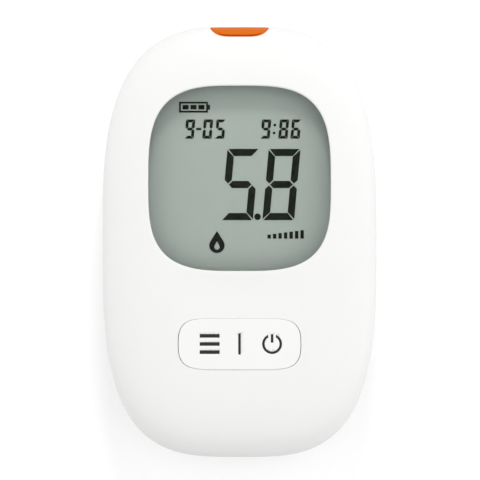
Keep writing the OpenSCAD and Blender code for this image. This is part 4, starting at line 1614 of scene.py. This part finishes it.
@dataclass
class RearCover:
    """The white back of the case with the battery bay, screw towers and seam lip."""

    finish: Finish
    wall: float = 1.8
    edge: float = 0.12
    lip_inset: float = 1.0
    lip_h: float = 1.0
    fit: float = 0.1
    bay_wall: float = 1.2
    roof: float = 0.9
    tower_d: float = 5.6
    head_hole: tuple[float, float] = (4.3, 4.0)  # diameter and upper end
    shank_hole: float = 2.3
    shelf_z: float = 1.9      # upper side of the groove for the cover's tongues
    shelf_t: float = 1.2
    tab_half: float = 1.3     # half the width of the slots for the contacts' tabs
    tab_top: float = 14.1
    sound_d: float = 1.2      # sound holes under the buzzer
    sound_at: tuple[float, float] = (18.5, 18.5)
    sound_pitch: float = 2.4
    sound_top: float = 2.8
    count: int = 360

    def build(self) -> bpy.types.Object:
        """Makes the cover and returns the piece."""
        inside = self._inside().carved((Way.KEEP, CASE.body(self.wall / 2, 120, 12)))
        shell = self._shell().carved((Way.ADD, inside), (Way.CUT, self._cutters()))
        return finished(shell, "rear_cover_shell",
                        Dress("case", "case_white", self.finish, ("rear_cover",)))

    def _shell(self) -> Form:
        """The bare bowl, from the middle of its outside to the middle of its inside."""
        seam, turns = CASE.seam_z, 32
        lip = self.lip_inset + self.fit / 2
        steps = [CASE.back_step(90 * (turns - k) / turns) for k in range(turns)]
        steps += [(0, seam - self.edge * 1.6), (self.edge * 0.3, seam - self.edge * 0.6),
                  (self.edge, seam - 0.02), (lip, seam - 0.02), (lip, seam + self.lip_h),
                  (self.wall, seam + self.lip_h)]
        steps += [CASE.back_step(90 * k / 16, self.wall) for k in range(17)]
        return Form.skin(CASE.rings(steps, self.count))

    def _inside(self) -> Form:
        """Towers, bay walls, shelf and the housing of the turned-up end, in one."""
        half, wall = BAY_HALF + self.bay_wall, self.bay_wall
        bay = Form.block((-half, BAY_Y[0] - wall, -1), (half, BAY_Y[1] + wall, BAY_Z[1] + self.roof))
        shelf = DOOR.prism(DOOR.tongue + DOOR.gap + wall, -1, self.shelf_z + self.shelf_t)
        side = DOOR.width / 2 + DOOR.tongue + DOOR.gap + wall
        housing = Form.block((-side, -BEYOND, -1.01), (side, BAY_Y[0] - wall + 0.01,
                                                       DOOR.end_z + DOOR.gap + wall))
        towers = [Form.bar(self.tower_d, (x, y, -1), (x, y, CASE.seam_z - 0.1))
                  for x, y in CASE_SCREWS]
        return bay.carved((Way.ADD, shelf), (Way.ADD, housing),
                          *((Way.ADD, tower) for tower in towers))

    def _cutters(self) -> Form:
        """What is cut out of the bowl and its inside."""
        gap, seam = DOOR.gap, CASE.seam_z
        cut = Form.block((-BAY_HALF, BAY_Y[0], BAY_Z[0]), (BAY_HALF, BAY_Y[1], BAY_Z[1]))
        cut.with_(DOOR.prism(gap, -1, DOOR.lip_z + gap),
                  DOOR.prism(DOOR.tongue + gap, DOOR.lip_z, self.shelf_z),
                  Form.block((-DOOR.width / 2 - gap, -60.5, DOOR.lip_z),
                             (DOOR.width / 2 + gap, DOOR.end_y, DOOR.end_z + gap)),
                  PORT.prism(self.fit / 2, PORT.flange_y, BEYOND),
                  PORT.flange_bay(PORT.flange_z[0] - PORT.room / 2, seam + 2),
                  RatingLabel.recess())
        head_d, head_top = self.head_hole
        for x, y in CASE_SCREWS:
            cut.with_(Form.bar(head_d, (x, y, -1), (x, y, head_top)),
                      Form.bar(self.shank_hole, (x, y, -1.1), (x, y, seam + 1)))
        for x in (-CELL_X, CELL_X):
            cut.with_(Form.block((x - self.tab_half, BAY_Y[1] - 0.4, BAY_Z[1] - 1),
                                 (x + self.tab_half, BAY_Y[1], self.tab_top)))
        for k in (-1, 0, 1):
            x, y = self.sound_at[0], self.sound_at[1] + self.sound_pitch * k
            cut.with_(Form.bar(self.sound_d, (x, y, -1), (x, y, self.sound_top), 32))
        return cut


@dataclass
class BatteryCover:
    """The cover that slides off over the battery end, with its thumb grip."""

    finish: Finish
    grip_lines: int = 5
    grip_y: float = -4.0
    grip_pitch: float = 1.5
    grip_half: float = 5.0    # half the length of the first line
    grip_taper: float = 0.55  # how much shorter each next half is
    grip_wide: float = 0.35   # half the width of a line
    edge: float = 0.16

    def build(self) -> bpy.types.Object:
        """Makes the cover and returns the piece."""
        z, e = DOOR.face_z, self.edge
        lip = plate(DOOR.ring, [(-e, -1), (-e, z), (-e * 0.4, z + e * 0.35), (0, z + e),
                                (0, DOOR.lip_z)])
        tongues = DOOR.prism(DOOR.tongue, DOOR.lip_z + DOOR.gap, DOOR.top_z)
        neck = DOOR.prism(0, DOOR.lip_z - 0.01, DOOR.lip_z + DOOR.gap + 0.01)
        end = Form.block((-DOOR.width / 2, -60.5, DOOR.lip_z + DOOR.gap),
                         (DOOR.width / 2, DOOR.end_y - 0.4, DOOR.end_z))
        hollow = Form.block((-15, -61, DOOR.top_z), (15, 61, CASE.seam_z - 1)).carved(
            (Way.KEEP, CASE.body(DOOR.top_z, 180, 14)))
        steps = [(Way.ADD, tongues), (Way.ADD, neck), (Way.ADD, end),
                 (Way.KEEP, CASE.body(DOOR.face_z, 360, 32)), (Way.CUT, hollow)]
        for k in range(self.grip_lines):
            steps.append((Way.CUT, self._groove(k)))
        return finished(lip.carved(*steps), "battery_cover_shell",
                        Dress("battery_door", "case_white", self.finish, ("battery_cover",)))

    def _groove(self, k: int) -> Form:
        """The cutter of one line of the grip: a long rounded groove with sloping sides.

        Args:
            k: the line's number.

        Returns:
            The cutter.
        """
        half, wide = self.grip_half - self.grip_taper * k, self.grip_wide
        shape = Oval(half, wide, wide, (8, 2), (8, 2), self.grip_y - self.grip_pitch * k + wide)
        return plate(lambda grow: shape.grown(grow).ring(48),
                     [(-0.12, DOOR.face_z + 0.4), (0, DOOR.face_z + 0.25), (0.1, DOOR.face_z - 0.05),
                      (0.2, DOOR.face_z - 0.5)])


@dataclass
class StripPort:
    """The orange port: a face that follows the case, a flange behind it and the strip's slot."""

    finish: Finish
    slot_half: float = 3.6
    slot_z: float = 12.2
    slot_h: float = 1.3
    mouth_side: float = 0.6   # how much wider than the slot its sloping mouth is
    mouth_deep: float = 1.6
    mouth_slope: float = 35.0
    groove: float = 0.84      # width of the rounded groove between port and case
    groove_deep: float = 0.9  # share by which it is deeper where it runs level, over the top
    groove_thin: float = 0.5  # share by which it is narrower there
    groove_sink: float = 0.38  # how far its middle sinks there, mm
    dish_side: float = 1.3    # from the port's side to the shallow dish of its face
    dish: float = 0.16
    dish_z: float = 10.6

    def build(self) -> bpy.types.Object:
        """Makes the port and returns the piece."""
        z0, z1 = PORT.flange_z
        flange = Form.block((-PORT.flange_half, PORT.flange_back, z0),
                            (PORT.flange_half, PORT.flange_y + 0.01, z1))
        half = PORT.width / 2 - self.dish_side
        limit = Form.block((-10, 40, 5), (10, PORT.face_y, CASE.top_z))
        dish = Form.block((-half, PORT.face_y - self.dish, self.dish_z), (half, BEYOND, BEYOND))
        z0, z1 = self.slot_z - self.slot_h / 2, self.slot_z + self.slot_h / 2
        slot = Form.block((-self.slot_half, 42, z0), (self.slot_half, BEYOND, z1))
        side = self.slot_half + self.mouth_side
        mouth = Form.block((-side, -self.mouth_deep, 0.3 - self.slot_h / 2),
                           (side, 4, 0.9 + self.slot_h / 2))
        mouth.moved(Matrix.Translation((0, PORT.face_y, self.slot_z))
                    @ Matrix.Rotation(math.radians(self.mouth_slope), 4, "X"))
        groove = Form.wire(self.groove, self._groove, 120)
        made = PORT.prism(0, PORT.flange_y, 52.0).carved(
            (Way.KEEP, CASE.body(PORT.sink, 360, 32)), (Way.CUT, groove), (Way.KEEP, limit),
            (Way.ADD, flange), (Way.CUT, slot), (Way.CUT, mouth), (Way.CUT, dish))
        return finished(made, "strip_port_shell",
                        Dress("case", "port_orange", self.finish, ("strip_port",)))

    def _groove(self, share: float) -> tuple[Vector, Vector, Vector]:
        """The groove's line and two ways across it: narrow and deep where it runs over the top.

        Args:
            share: of the line's length, 0 to 1.

        Returns:
            The groove's middle and the two ways.
        """
        middle, first, second = PORT.edge(share)
        lean = abs(first.z)
        return (middle + first * lean * self.groove_sink, first * (1 + self.groove_deep * lean),
                second * (1 - self.groove_thin * lean))


@dataclass
class Key:
    """The rocking key: crowned cap with its flange, plungers and pin."""

    finish: Finish
    legend_finish: Finish
    top_z: float = 24.2
    crown_r: float = 360.0
    edge: float = 0.1
    flange_t: float = 1.0
    plunger_x: float = 7.0
    plunger_d: float = 3.2
    plunger_z: float = 18.915
    web_half: float = 0.64    # half the thickness of the web between flange and pin
    pin_reach: float = 8.6
    insets: tuple[float, ...] = (0.3, 0.7, 1.2, 1.9, 2.8, 3.8, 4.8, 5.4)  # rings of the top
    slices: int = 13          # cuts across the top to either side, 1 mm apart

    def build(self) -> bpy.types.Object:
        """Makes the cap and returns the piece."""
        flange_z, top = KEY.flange_top - self.flange_t, KEY.flange_top
        rings = [self._ring(KEY.flange, flange_z), self._ring(KEY.flange, top),
                 raised(self._crowned(0, 0)[:, :2], top)]
        for k in range(7):
            a = math.radians(15 * k)
            rings.append(self._crowned(-self.edge * (1 - math.cos(a)), self.edge * (1 - math.sin(a))))
        rings += [self._crowned(-inset, 0) for inset in self.insets]
        cap = Form.skin(rings).sliced(range(-self.slices, self.slices + 1))
        y, half = KEY.centre_y, KEY.depth / 2
        parts = [Form.bar(self.plunger_d, (x, y, self.plunger_z), (x, y, flange_z + 0.01))
                 for x in (-self.plunger_x, self.plunger_x)]
        parts.append(Form.block((-self.web_half, y - half, KEY.pin_z),
                                (self.web_half, y + half, flange_z + 0.2)))
        parts.append(Form.bar(KEY.pin_d, (0, y - self.pin_reach, KEY.pin_z),
                              (0, y + self.pin_reach, KEY.pin_z)))
        made = cap.carved(*((Way.ADD, part) for part in parts), (Way.CUT, self._legend_cut()))
        dress_node("key_legends", self.legend_finish)
        return finished(made, "key_cap_shell", Dress("key", "key_white", self.finish, ("key_cap",)))

    def _ring(self, grow: float, z: float) -> np.ndarray:
        """A level ring round the key."""
        return raised(KEY.outline.grown(grow).ring(256), z)

    def _crowned(self, grow: float, below: float) -> np.ndarray:
        """A ring of the cap that lies some way below the key's gentle crown."""
        cap = replace(KEY.outline, up=KEY.depth / 2 + KEY.swell, down=KEY.depth / 2 + KEY.swell)
        flat = cap.grown(grow).ring(256)
        return raised(flat, self.top_z - self.crown_r - below + np.sqrt(self.crown_r**2 - flat[:, 0] ** 2))

    def _legend_cut(self) -> Form:
        """The legends' own shape, raised out of the cap, to cut their recess."""
        cut = merged("key_legends")
        low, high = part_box("key_legends")
        middle = (low.z + high.z) / 2 / MM
        upper = [v for v in cut.bm.verts if v.co.z > middle]
        bmesh.ops.translate(cut.bm, verts=upper, vec=(0, 0, 1))
        return cut


@dataclass
class DisplayUnit:
    """The window pane and what lies under it."""

    glass: Finish
    inner_glass: Finish
    panel: Finish
    ink: Finish
    flange: float = 2.0
    flange_t: float = 1.1
    gap: float = 0.08         # round the pane in its opening
    film: float = 0.4         # thickness of the figures' film, as a share of the gap between glasses

    def build(self) -> bpy.types.Object:
        """Makes the pane and the figures, dresses the glasses and returns the pane."""
        low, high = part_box("display_window")
        z0, z1 = low.z / MM, high.z / MM
        step = z0 + self.flange_t
        outline = WINDOW.outline
        rings = [(0, z0), (self.flange, z0), (self.flange, step), (-self.gap, step),
                 (-self.gap, z1 - 0.12), (-self.gap - 0.04, z1 - 0.04), (-self.gap - 0.12, z1),
                 (-self.gap - 0.2, z1), (-self.gap - 1, z1)]
        pane = plate(lambda grow: outline.grown(grow).ring(256), rings)
        self._figures()
        dress_node("display_rear_glass", self.panel)
        dress_node("display_front_glass", self.inner_glass)
        return finished(pane, "window_pane",
                        Dress("case", "window_clear", self.glass, ("display_window",)))

    def _figures(self) -> bpy.types.Object:
        """Makes the figures from their packed outlines, as a film that touches neither glass."""
        low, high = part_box("display_figures")
        middle = (low.z + high.z) / 2 / MM
        film = merged("display_figures").moved(Matrix.Translation((0, 0, middle))
                                               @ Matrix.Diagonal((1, 1, self.film, 1))
                                               @ Matrix.Translation((0, 0, -middle)))
        return finished(film, "display_figure_film",
                        Dress("case", "figure_ink", self.ink, ("display_figures",)))


@dataclass
class RatingLabel:
    """The blank label in its recess of the back."""

    corner: float = 1.2
    fit: float = 0.1

    def build(self) -> bpy.types.Object:
        """Makes the label and returns the piece."""
        low, high = (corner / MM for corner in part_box("rating_label"))
        middle = (low + high) / 2
        half = (high - low) / 2

        def outline(grow: float) -> np.ndarray:
            """The label's outline, grown by some margin."""
            return rounded(half.x + grow, half.y + grow, self.corner) + (middle.x, middle.y)

        form = plate(outline, [(-0.6, low.z), (-0.04, low.z), (0, low.z + 0.04), (0, high.z)])
        finish = LabelFilm("label_film", tuple(middle), (half.x - 0.8, half.y - 0.8))
        return finished(form, "rating_label_film", Dress("case", "label_film", finish, ("rating_label",)))

    @classmethod
    def recess(cls) -> Form:
        """The cutter of the label's recess, with the label's own corners."""
        low, high = (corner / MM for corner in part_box("rating_label"))
        middle = (low + high) / 2
        half = (high - low) / 2 + Vector((cls.fit, cls.fit, 0))
        ring = rounded(half.x, half.y, cls.corner + cls.fit) + (middle.x, middle.y)
        return Form.skin([raised(ring, -1.2), raised(ring, high.z)])


@dataclass
class ScrewSet:
    """Equal pan-head screws whose heads look down or up."""

    name: str
    node: str
    places: Sequence[tuple[float, float]]
    head_z: float             # height of the head's outer face
    shank_z: float            # height of the tip
    head_d: float
    head_t: float
    shank_d: float
    cross: tuple[float, float, float]  # half length, width and depth of the recess

    def build(self) -> bpy.types.Object:
        """Makes the screws and returns the piece."""
        screws = Form()
        for x, y in self.places:
            turn = Matrix.Rotation(math.radians(37 * x + 11 * y), 4, "Z")
            screws.with_(self._screw().moved(Matrix.Translation((x, y, self.head_z)) @ turn))
        finish = PlatedMetal(self.name + "_zinc", (0.56, 0.56, 0.57), 0.32)
        return finished(screws, self.name, Dress("case", "screw_steel", finish, (self.node,)))

    def _screw(self) -> Form:
        """One screw, with the middle of its head's outer face at the origin."""
        way = 1 if self.shank_z > self.head_z else -1
        r, t, s = self.head_d / 2, self.head_t, self.shank_d / 2
        length = abs(self.shank_z - self.head_z)
        dome = [(r * math.sin(math.radians(a)), t * 0.55 * (1 - math.cos(math.radians(a))))
                for a in range(0, 91, 10)]
        profile = dome + [(r, t), (s, t), (s, length - s), (s * 0.5, length - 0.2), (0, length)]
        form = Form.turned([(radius, way * z) for radius, z in profile])
        half, wide, deep = self.cross
        z0, z1 = sorted((-way, way * deep))
        slots = [Form.block((-a, -b, z0), (a, b, z1)) for a, b in ((half, wide / 2), (wide / 2, half))]
        return form.carved(*((Way.CUT, slot) for slot in slots))


@dataclass
class BatteryBay:
    """The two cells with their contact plates and springs."""

    cell_r: float = 5.25
    cell_z: float = 7.25      # of the cells' middles
    cap_r: float = 1.9
    cap_h: float = 1.1
    wire_d: float = 0.45
    wide_r: float = 3.5
    narrow_r: float = 1.5
    turns: int = 3
    closed: float = 0.12      # share of a spring's length that lies flat on its plate
    springs: tuple[Point, Point] = ((-CELL_X, -40.1, -38.6), (CELL_X, 5.9, 4.4))  # x, two ends
    plate_h: float = 7.2
    sheet_round: float = 0.9
    tab_half: float = 1.0
    dimple_d: float = 2.2
    dimple_z: float = 3.6
    sheet_t: float = 0.22     # from a face of the plate to the end of a dimple's cutter
    nickel: Finish = PlatedMetal("contact_nickel", (0.72, 0.7, 0.66), 0.26, Along.Z)
    spring_finish: Finish = PlatedMetal("spring_nickel", (0.66, 0.66, 0.66), 0.22)

    def build(self) -> None:
        """Makes the cells, plates and springs."""
        self._cell("battery_cell_left", 1)
        self._cell("battery_cell_right", -1)
        for node in ("positive_contact", "negative_contact", "bridge_contact"):
            self._plate(node)
        self._springs()

    def _cell(self, node: str, turn: int) -> bpy.types.Object:
        """Makes one cell: a can with a crimped foot, a sleeve and a cap towards turn.

        Args:
            node: the cell's node.
            turn: 1 when the cap points along +Y, -1 when along -Y.

        Returns:
            The piece.
        """
        low, high = (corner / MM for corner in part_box(node))
        middle = (low + high) / 2
        half, r = (high.y - low.y) / 2, self.cell_r
        shoulder = half - self.cap_h
        profile = [(0, -half + 0.25), (2.6, -half + 0.25), (3.0, -half), (r - 0.9, -half),
                   (r - 0.35, -half + 0.12), (r - 0.08, -half + 0.45), (r, -half + 0.75)]
        profile += [(r, shoulder - 1.1), (r - 0.06, shoulder - 0.6), (r - 0.3, shoulder - 0.2),
                    (r - 0.75, shoulder), (r - 1.0, shoulder - 0.1), (r - 1.15, shoulder - 0.35),
                    (r - 1.6, shoulder - 0.4), (self.cap_r + 0.5, shoulder - 0.2),
                    (self.cap_r + 0.15, shoulder - 0.02), (self.cap_r, shoulder + 0.12),
                    (self.cap_r, half - 0.3), (self.cap_r - 0.12, half - 0.08),
                    (self.cap_r - 0.4, half), (0, half)]
        turned = Form.turned(profile, 64)
        place = Matrix.Translation(middle) @ Matrix.Rotation(math.radians(-90 * turn), 4, "X")
        finish = CellSleeve(node + "_sleeve", tuple(middle), turn)
        return finished(turned.moved(place), node + "_can", Dress("case", "cell_steel", finish, (node,)))

    def _plate(self, node: str) -> bpy.types.Object:
        """Makes one contact plate, with its tab where it has one, from the node's box.

        Args:
            node: the plate's node.

        Returns:
            The piece.
        """
        low, high = (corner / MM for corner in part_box(node))
        wide, height = (high.x - low.x) / 2, high.z - low.z
        body = Form.block(tuple(low), (high.x, high.y, low.z + min(self.plate_h, height)))
        body.softened_along(self.sheet_round, 4)
        if height > self.plate_h + 0.1:
            x = (low.x + high.x) / 2
            tab = Form.block((x - self.tab_half, low.y, low.z + 5), (x + self.tab_half, high.y, high.z))
            body = body.carved((Way.ADD, tab))
        dimples = [low.x + wide] if wide < CELL_X else [-CELL_X, CELL_X]
        z = low.z + self.dimple_z
        for x in dimples:
            ring = Form.bar(self.dimple_d, (x, low.y + self.sheet_t, z), (x, high.y - self.sheet_t, z))
            body = body.carved((Way.CUT, ring.moved(Matrix.Translation((0, 0.25, 0)))))
        return finished(body, node + "_plate", Dress("case", "contact_nickel", self.nickel, (node,)))

    def _springs(self) -> bpy.types.Object:
        """Makes both conical springs, each widest against its plate."""
        coils = Form()
        for x, y0, y1 in self.springs:
            way = 1 if y1 > y0 else -1
            start = y0 + way * self.wire_d / 2
            rise = (y1 - y0) - way * self.wire_d

            def path(share: float) -> tuple[Vector, Vector, Vector]:
                """Middle of the wire and two ways across it, closed flat where it starts.

                Args:
                    share: of the spring's length, 0 to 1.

                Returns:
                    The middle and the two ways.
                """
                angle = 2 * math.pi * self.turns * share
                reach = self.wide_r + (self.narrow_r - self.wide_r) * share
                out = Vector((math.cos(angle), 0, math.sin(angle)))
                climb = max(0.0, (share - self.closed) / (1 - self.closed))
                middle = Vector((x, start + rise * climb, self.cell_z)) + out * reach
                return middle, out, Vector((0, 1, 0))

            coils.with_(Form.wire(self.wire_d, path, 36 * self.turns))
        return finished(coils, "contact_springs",
                        Dress("case", "spring_steel", self.spring_finish, ("battery_springs",),
                              crease=60))


@dataclass
class Electronics:
    """The board and what it carries, and the parts between board, display, key and strip."""

    chips: tuple[tuple[str, float], ...] = (
        ("microcontroller", 5.0), ("amplifier_chip", 2.5), ("memory_chip", 2.0))  # half lengths
    passive_rows: tuple[float, ...] = (-2.5, 7.0, -4.5, -19.0)
    mat_keep: float = 0.88    # of the key mat's height when the key is fully rocked

    def build(self) -> None:
        """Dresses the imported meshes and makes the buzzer."""
        dress_node("circuit_board", SolderMask("board_green"))
        for node, half in self.chips:
            low, high = (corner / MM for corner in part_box(node))
            dress_node(node, ChipCase(node + "_epoxy", tuple((low + high) / 2), half))
        dress_node("crystal", PlatedMetal("crystal_can", (0.7, 0.7, 0.71), 0.24, Along.X))
        dress_node("board_passives", CeramicParts("passive_ceramic", self.passive_rows))
        dress_node("strip_connector", MouldedPlastic("connector_black", (0.02, 0.02, 0.021), 0.5, 0.1))
        dress_node("strip_contacts", PlatedMetal("contact_gold", (0.83, 0.6, 0.25), 0.22, Along.Y))
        dress_node("elastomer_connector", StripedElastomer("elastomer_slices"))
        mat = finished(merged("key_mat"), "key_mat_sheet",
                       Dress("case", "mat_silicone", Silicone("mat_silicone"), ("key_mat",)))
        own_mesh(mat)
        dress_node("window_gasket", Foam("gasket_foam"))
        dress_node("display_holder", MouldedPlastic("holder_plastic", (0.74, 0.74, 0.72), 0.5, 0.12))
        dress_node("display_reflector", DisplayPanel("reflector_sheet", (0.36, 0.42, 0.39), 0.2))
        self._buzzer()

    def _buzzer(self) -> bpy.types.Object:
        """Makes the buzzer: a round can with a rim, a stepped face and a sound hole."""
        low, high = (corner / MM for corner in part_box("buzzer"))
        middle = (low + high) / 2
        r, h = (high.x - low.x) / 2, high.z - low.z
        profile = [(0, 0.9), (1.0, 0.9), (1.0, 0.06), (1.06, 0), (2.2, 0), (2.3, 0.12), (r - 0.7, 0.12),
                   (r - 0.62, 0), (r - 0.2, 0), (r, 0.2), (r, h - 0.1), (r - 0.1, h), (0, h)]
        form = Form.turned(profile).moved(Matrix.Translation((middle.x, middle.y, low.z)))
        finish = MouldedPlastic("buzzer_black", (0.024, 0.024, 0.026), 0.42, 0.12)
        return finished(form, "buzzer_can", Dress("case", "chip_black", finish, ("buzzer",)))


@dataclass
class Studio:
    """The plain studio: camera square over the meter, one soft lamp, pale world and floor."""

    lens: float = 500.0
    camera_at: Point = (0.00011, 0.00029, 1.498)
    lamp_way: Point = (0.02, 1.4, 1.0)
    lamp_far: float = 0.6
    lamp_aim: Point = (0, 0, 0.02)
    lamp_size: float = 0.14
    lamp_power: float = 0.95
    overhead: float = 0.88    # the world's light from straight above and below
    sides: tuple[float, float] = (0.7, 0.14)     # what is added towards +-X, and towards +X alone
    ends: tuple[float, float] = (-0.8, -0.05)    # the same along Y
    floor_r: float = 4.0
    floor_grey: float = 0.85
    floor_glow: float = 0.26  # what the camera alone sees the floor add

    def build(self) -> None:
        """Sets the view up."""
        scene = bpy.context.scene
        scene.view_settings.view_transform = "Standard"
        scene.camera = self._camera()
        self._lamp()
        scene.world = self._world()
        self._floor()

    def _camera(self) -> bpy.types.Object:
        """Makes the camera, which looks straight down."""
        camera = bpy.data.cameras.new("camera")
        camera.lens = self.lens
        camera.clip_end = 20.0
        held = bpy.data.objects.new("camera", camera)
        held.location = self.camera_at
        bpy.context.scene.collection.objects.link(held)
        return held

    def _lamp(self) -> None:
        """Makes the lamp, past the strip end and turned to the meter."""
        lamp = bpy.data.lights.new("key_lamp", "AREA")
        lamp.shape = "DISK"
        lamp.size = self.lamp_size
        lamp.energy = self.lamp_power
        held = bpy.data.objects.new("key_lamp", lamp)
        way = Vector(self.lamp_way).normalized()
        held.location = way * self.lamp_far + Vector(self.lamp_aim)
        held.rotation_euler = way.to_track_quat("Z", "Y").to_euler()
        bpy.context.scene.collection.objects.link(held)

    def _world(self) -> bpy.types.World:
        """Makes the world: white to the camera and in reflections, softer as light."""
        world = bpy.data.worlds.new("studio")
        shader = Shader(world)
        direct = shader.node("ShaderNodeLightPath", out="Is Camera Ray")
        path = direct.socket.node.outputs
        for name in ("Is Glossy Ray", "Is Transmission Ray"):
            direct = direct.most(Wire(shader, path[name]))
        x, y, _ = shader.axes(shader.node("ShaderNodeTexCoord", out="Generated"))
        soft = (x * x * self.sides[0] + x * self.sides[1] + y * y * self.ends[0] + y * self.ends[1]
                + self.overhead)
        strength = direct * (1 - soft) + soft
        shader.surface(shader.node("ShaderNodeBackground", None,
                                   {"Color": (1, 1, 1, 1), "Strength": strength}))
        return world

    def _floor(self) -> None:
        """Makes the floor: a pale disc that takes the meter's shadow."""
        bm = bmesh.new()
        bmesh.ops.create_circle(bm, cap_ends=True, segments=64, radius=self.floor_r)
        mesh = bpy.data.meshes.new("floor")
        bm.to_mesh(mesh)
        bm.free()
        material = bpy.data.materials.new("floor_white")
        shader = Shader(material)
        base = shader.node("ShaderNodeBsdfDiffuse", None, {"Color": (*(self.floor_grey,) * 3, 1)})
        seen = shader.node("ShaderNodeLightPath", out="Is Camera Ray")
        glow = shader.node("ShaderNodeEmission", None, {"Strength": seen * self.floor_glow})
        shader.surface(shader.node("ShaderNodeAddShader", None, {0: base, 1: glow}))
        mesh.materials.append(material)
        floor = bpy.data.objects.new("floor", mesh)
        bpy.context.scene.collection.objects.link(floor)


def main() -> None:
    """Builds the object piece by piece and reports each one."""
    logging.basicConfig(level=logging.INFO, format="%(message)s")
    Studio().build()
    white = MouldedPlastic("case_plastic", srgb(247, 247, 246), 0.55, shine=0.25)
    FrontCover(white).build()
    RearCover(white).build()
    BatteryCover(white).build()
    RatingLabel().build()
    DisplayUnit(glass=ClearGlass("window_acrylic"),
                inner_glass=ClearGlass("display_glass", glancing=0.4),
                panel=DisplayPanel("display_panel", srgb(183, 191, 187)),
                ink=PrintedInk("figure_ink", srgb(38, 40, 37))).build()
    Key(finish=MouldedPlastic("key_plastic", srgb(250, 250, 249), 0.55, shine=0.25),
        legend_finish=MouldedPlastic("legend_grey", srgb(50, 52, 51), 0.5, shine=0.1)).build()
    StripPort(MouldedPlastic("port_plastic", srgb(222, 108, 6), 0.5, shine=0.12)).build()
    Electronics().build()
    BatteryBay().build()
    ScrewSet("case_screw_set", "case_screws", CASE_SCREWS, head_z=2.7, shank_z=17.0, head_d=3.8,
             head_t=1.3, shank_d=2.0, cross=(1.14, 0.5, 0.7)).build()
    ScrewSet("board_screw_set", "board_screws", BOARD_SCREWS, head_z=13.1, shank_z=19.3, head_d=3.0,
             head_t=1.0, shank_d=1.6, cross=(0.9, 0.4, 0.5)).build()


if __name__ == "__main__":
    main()
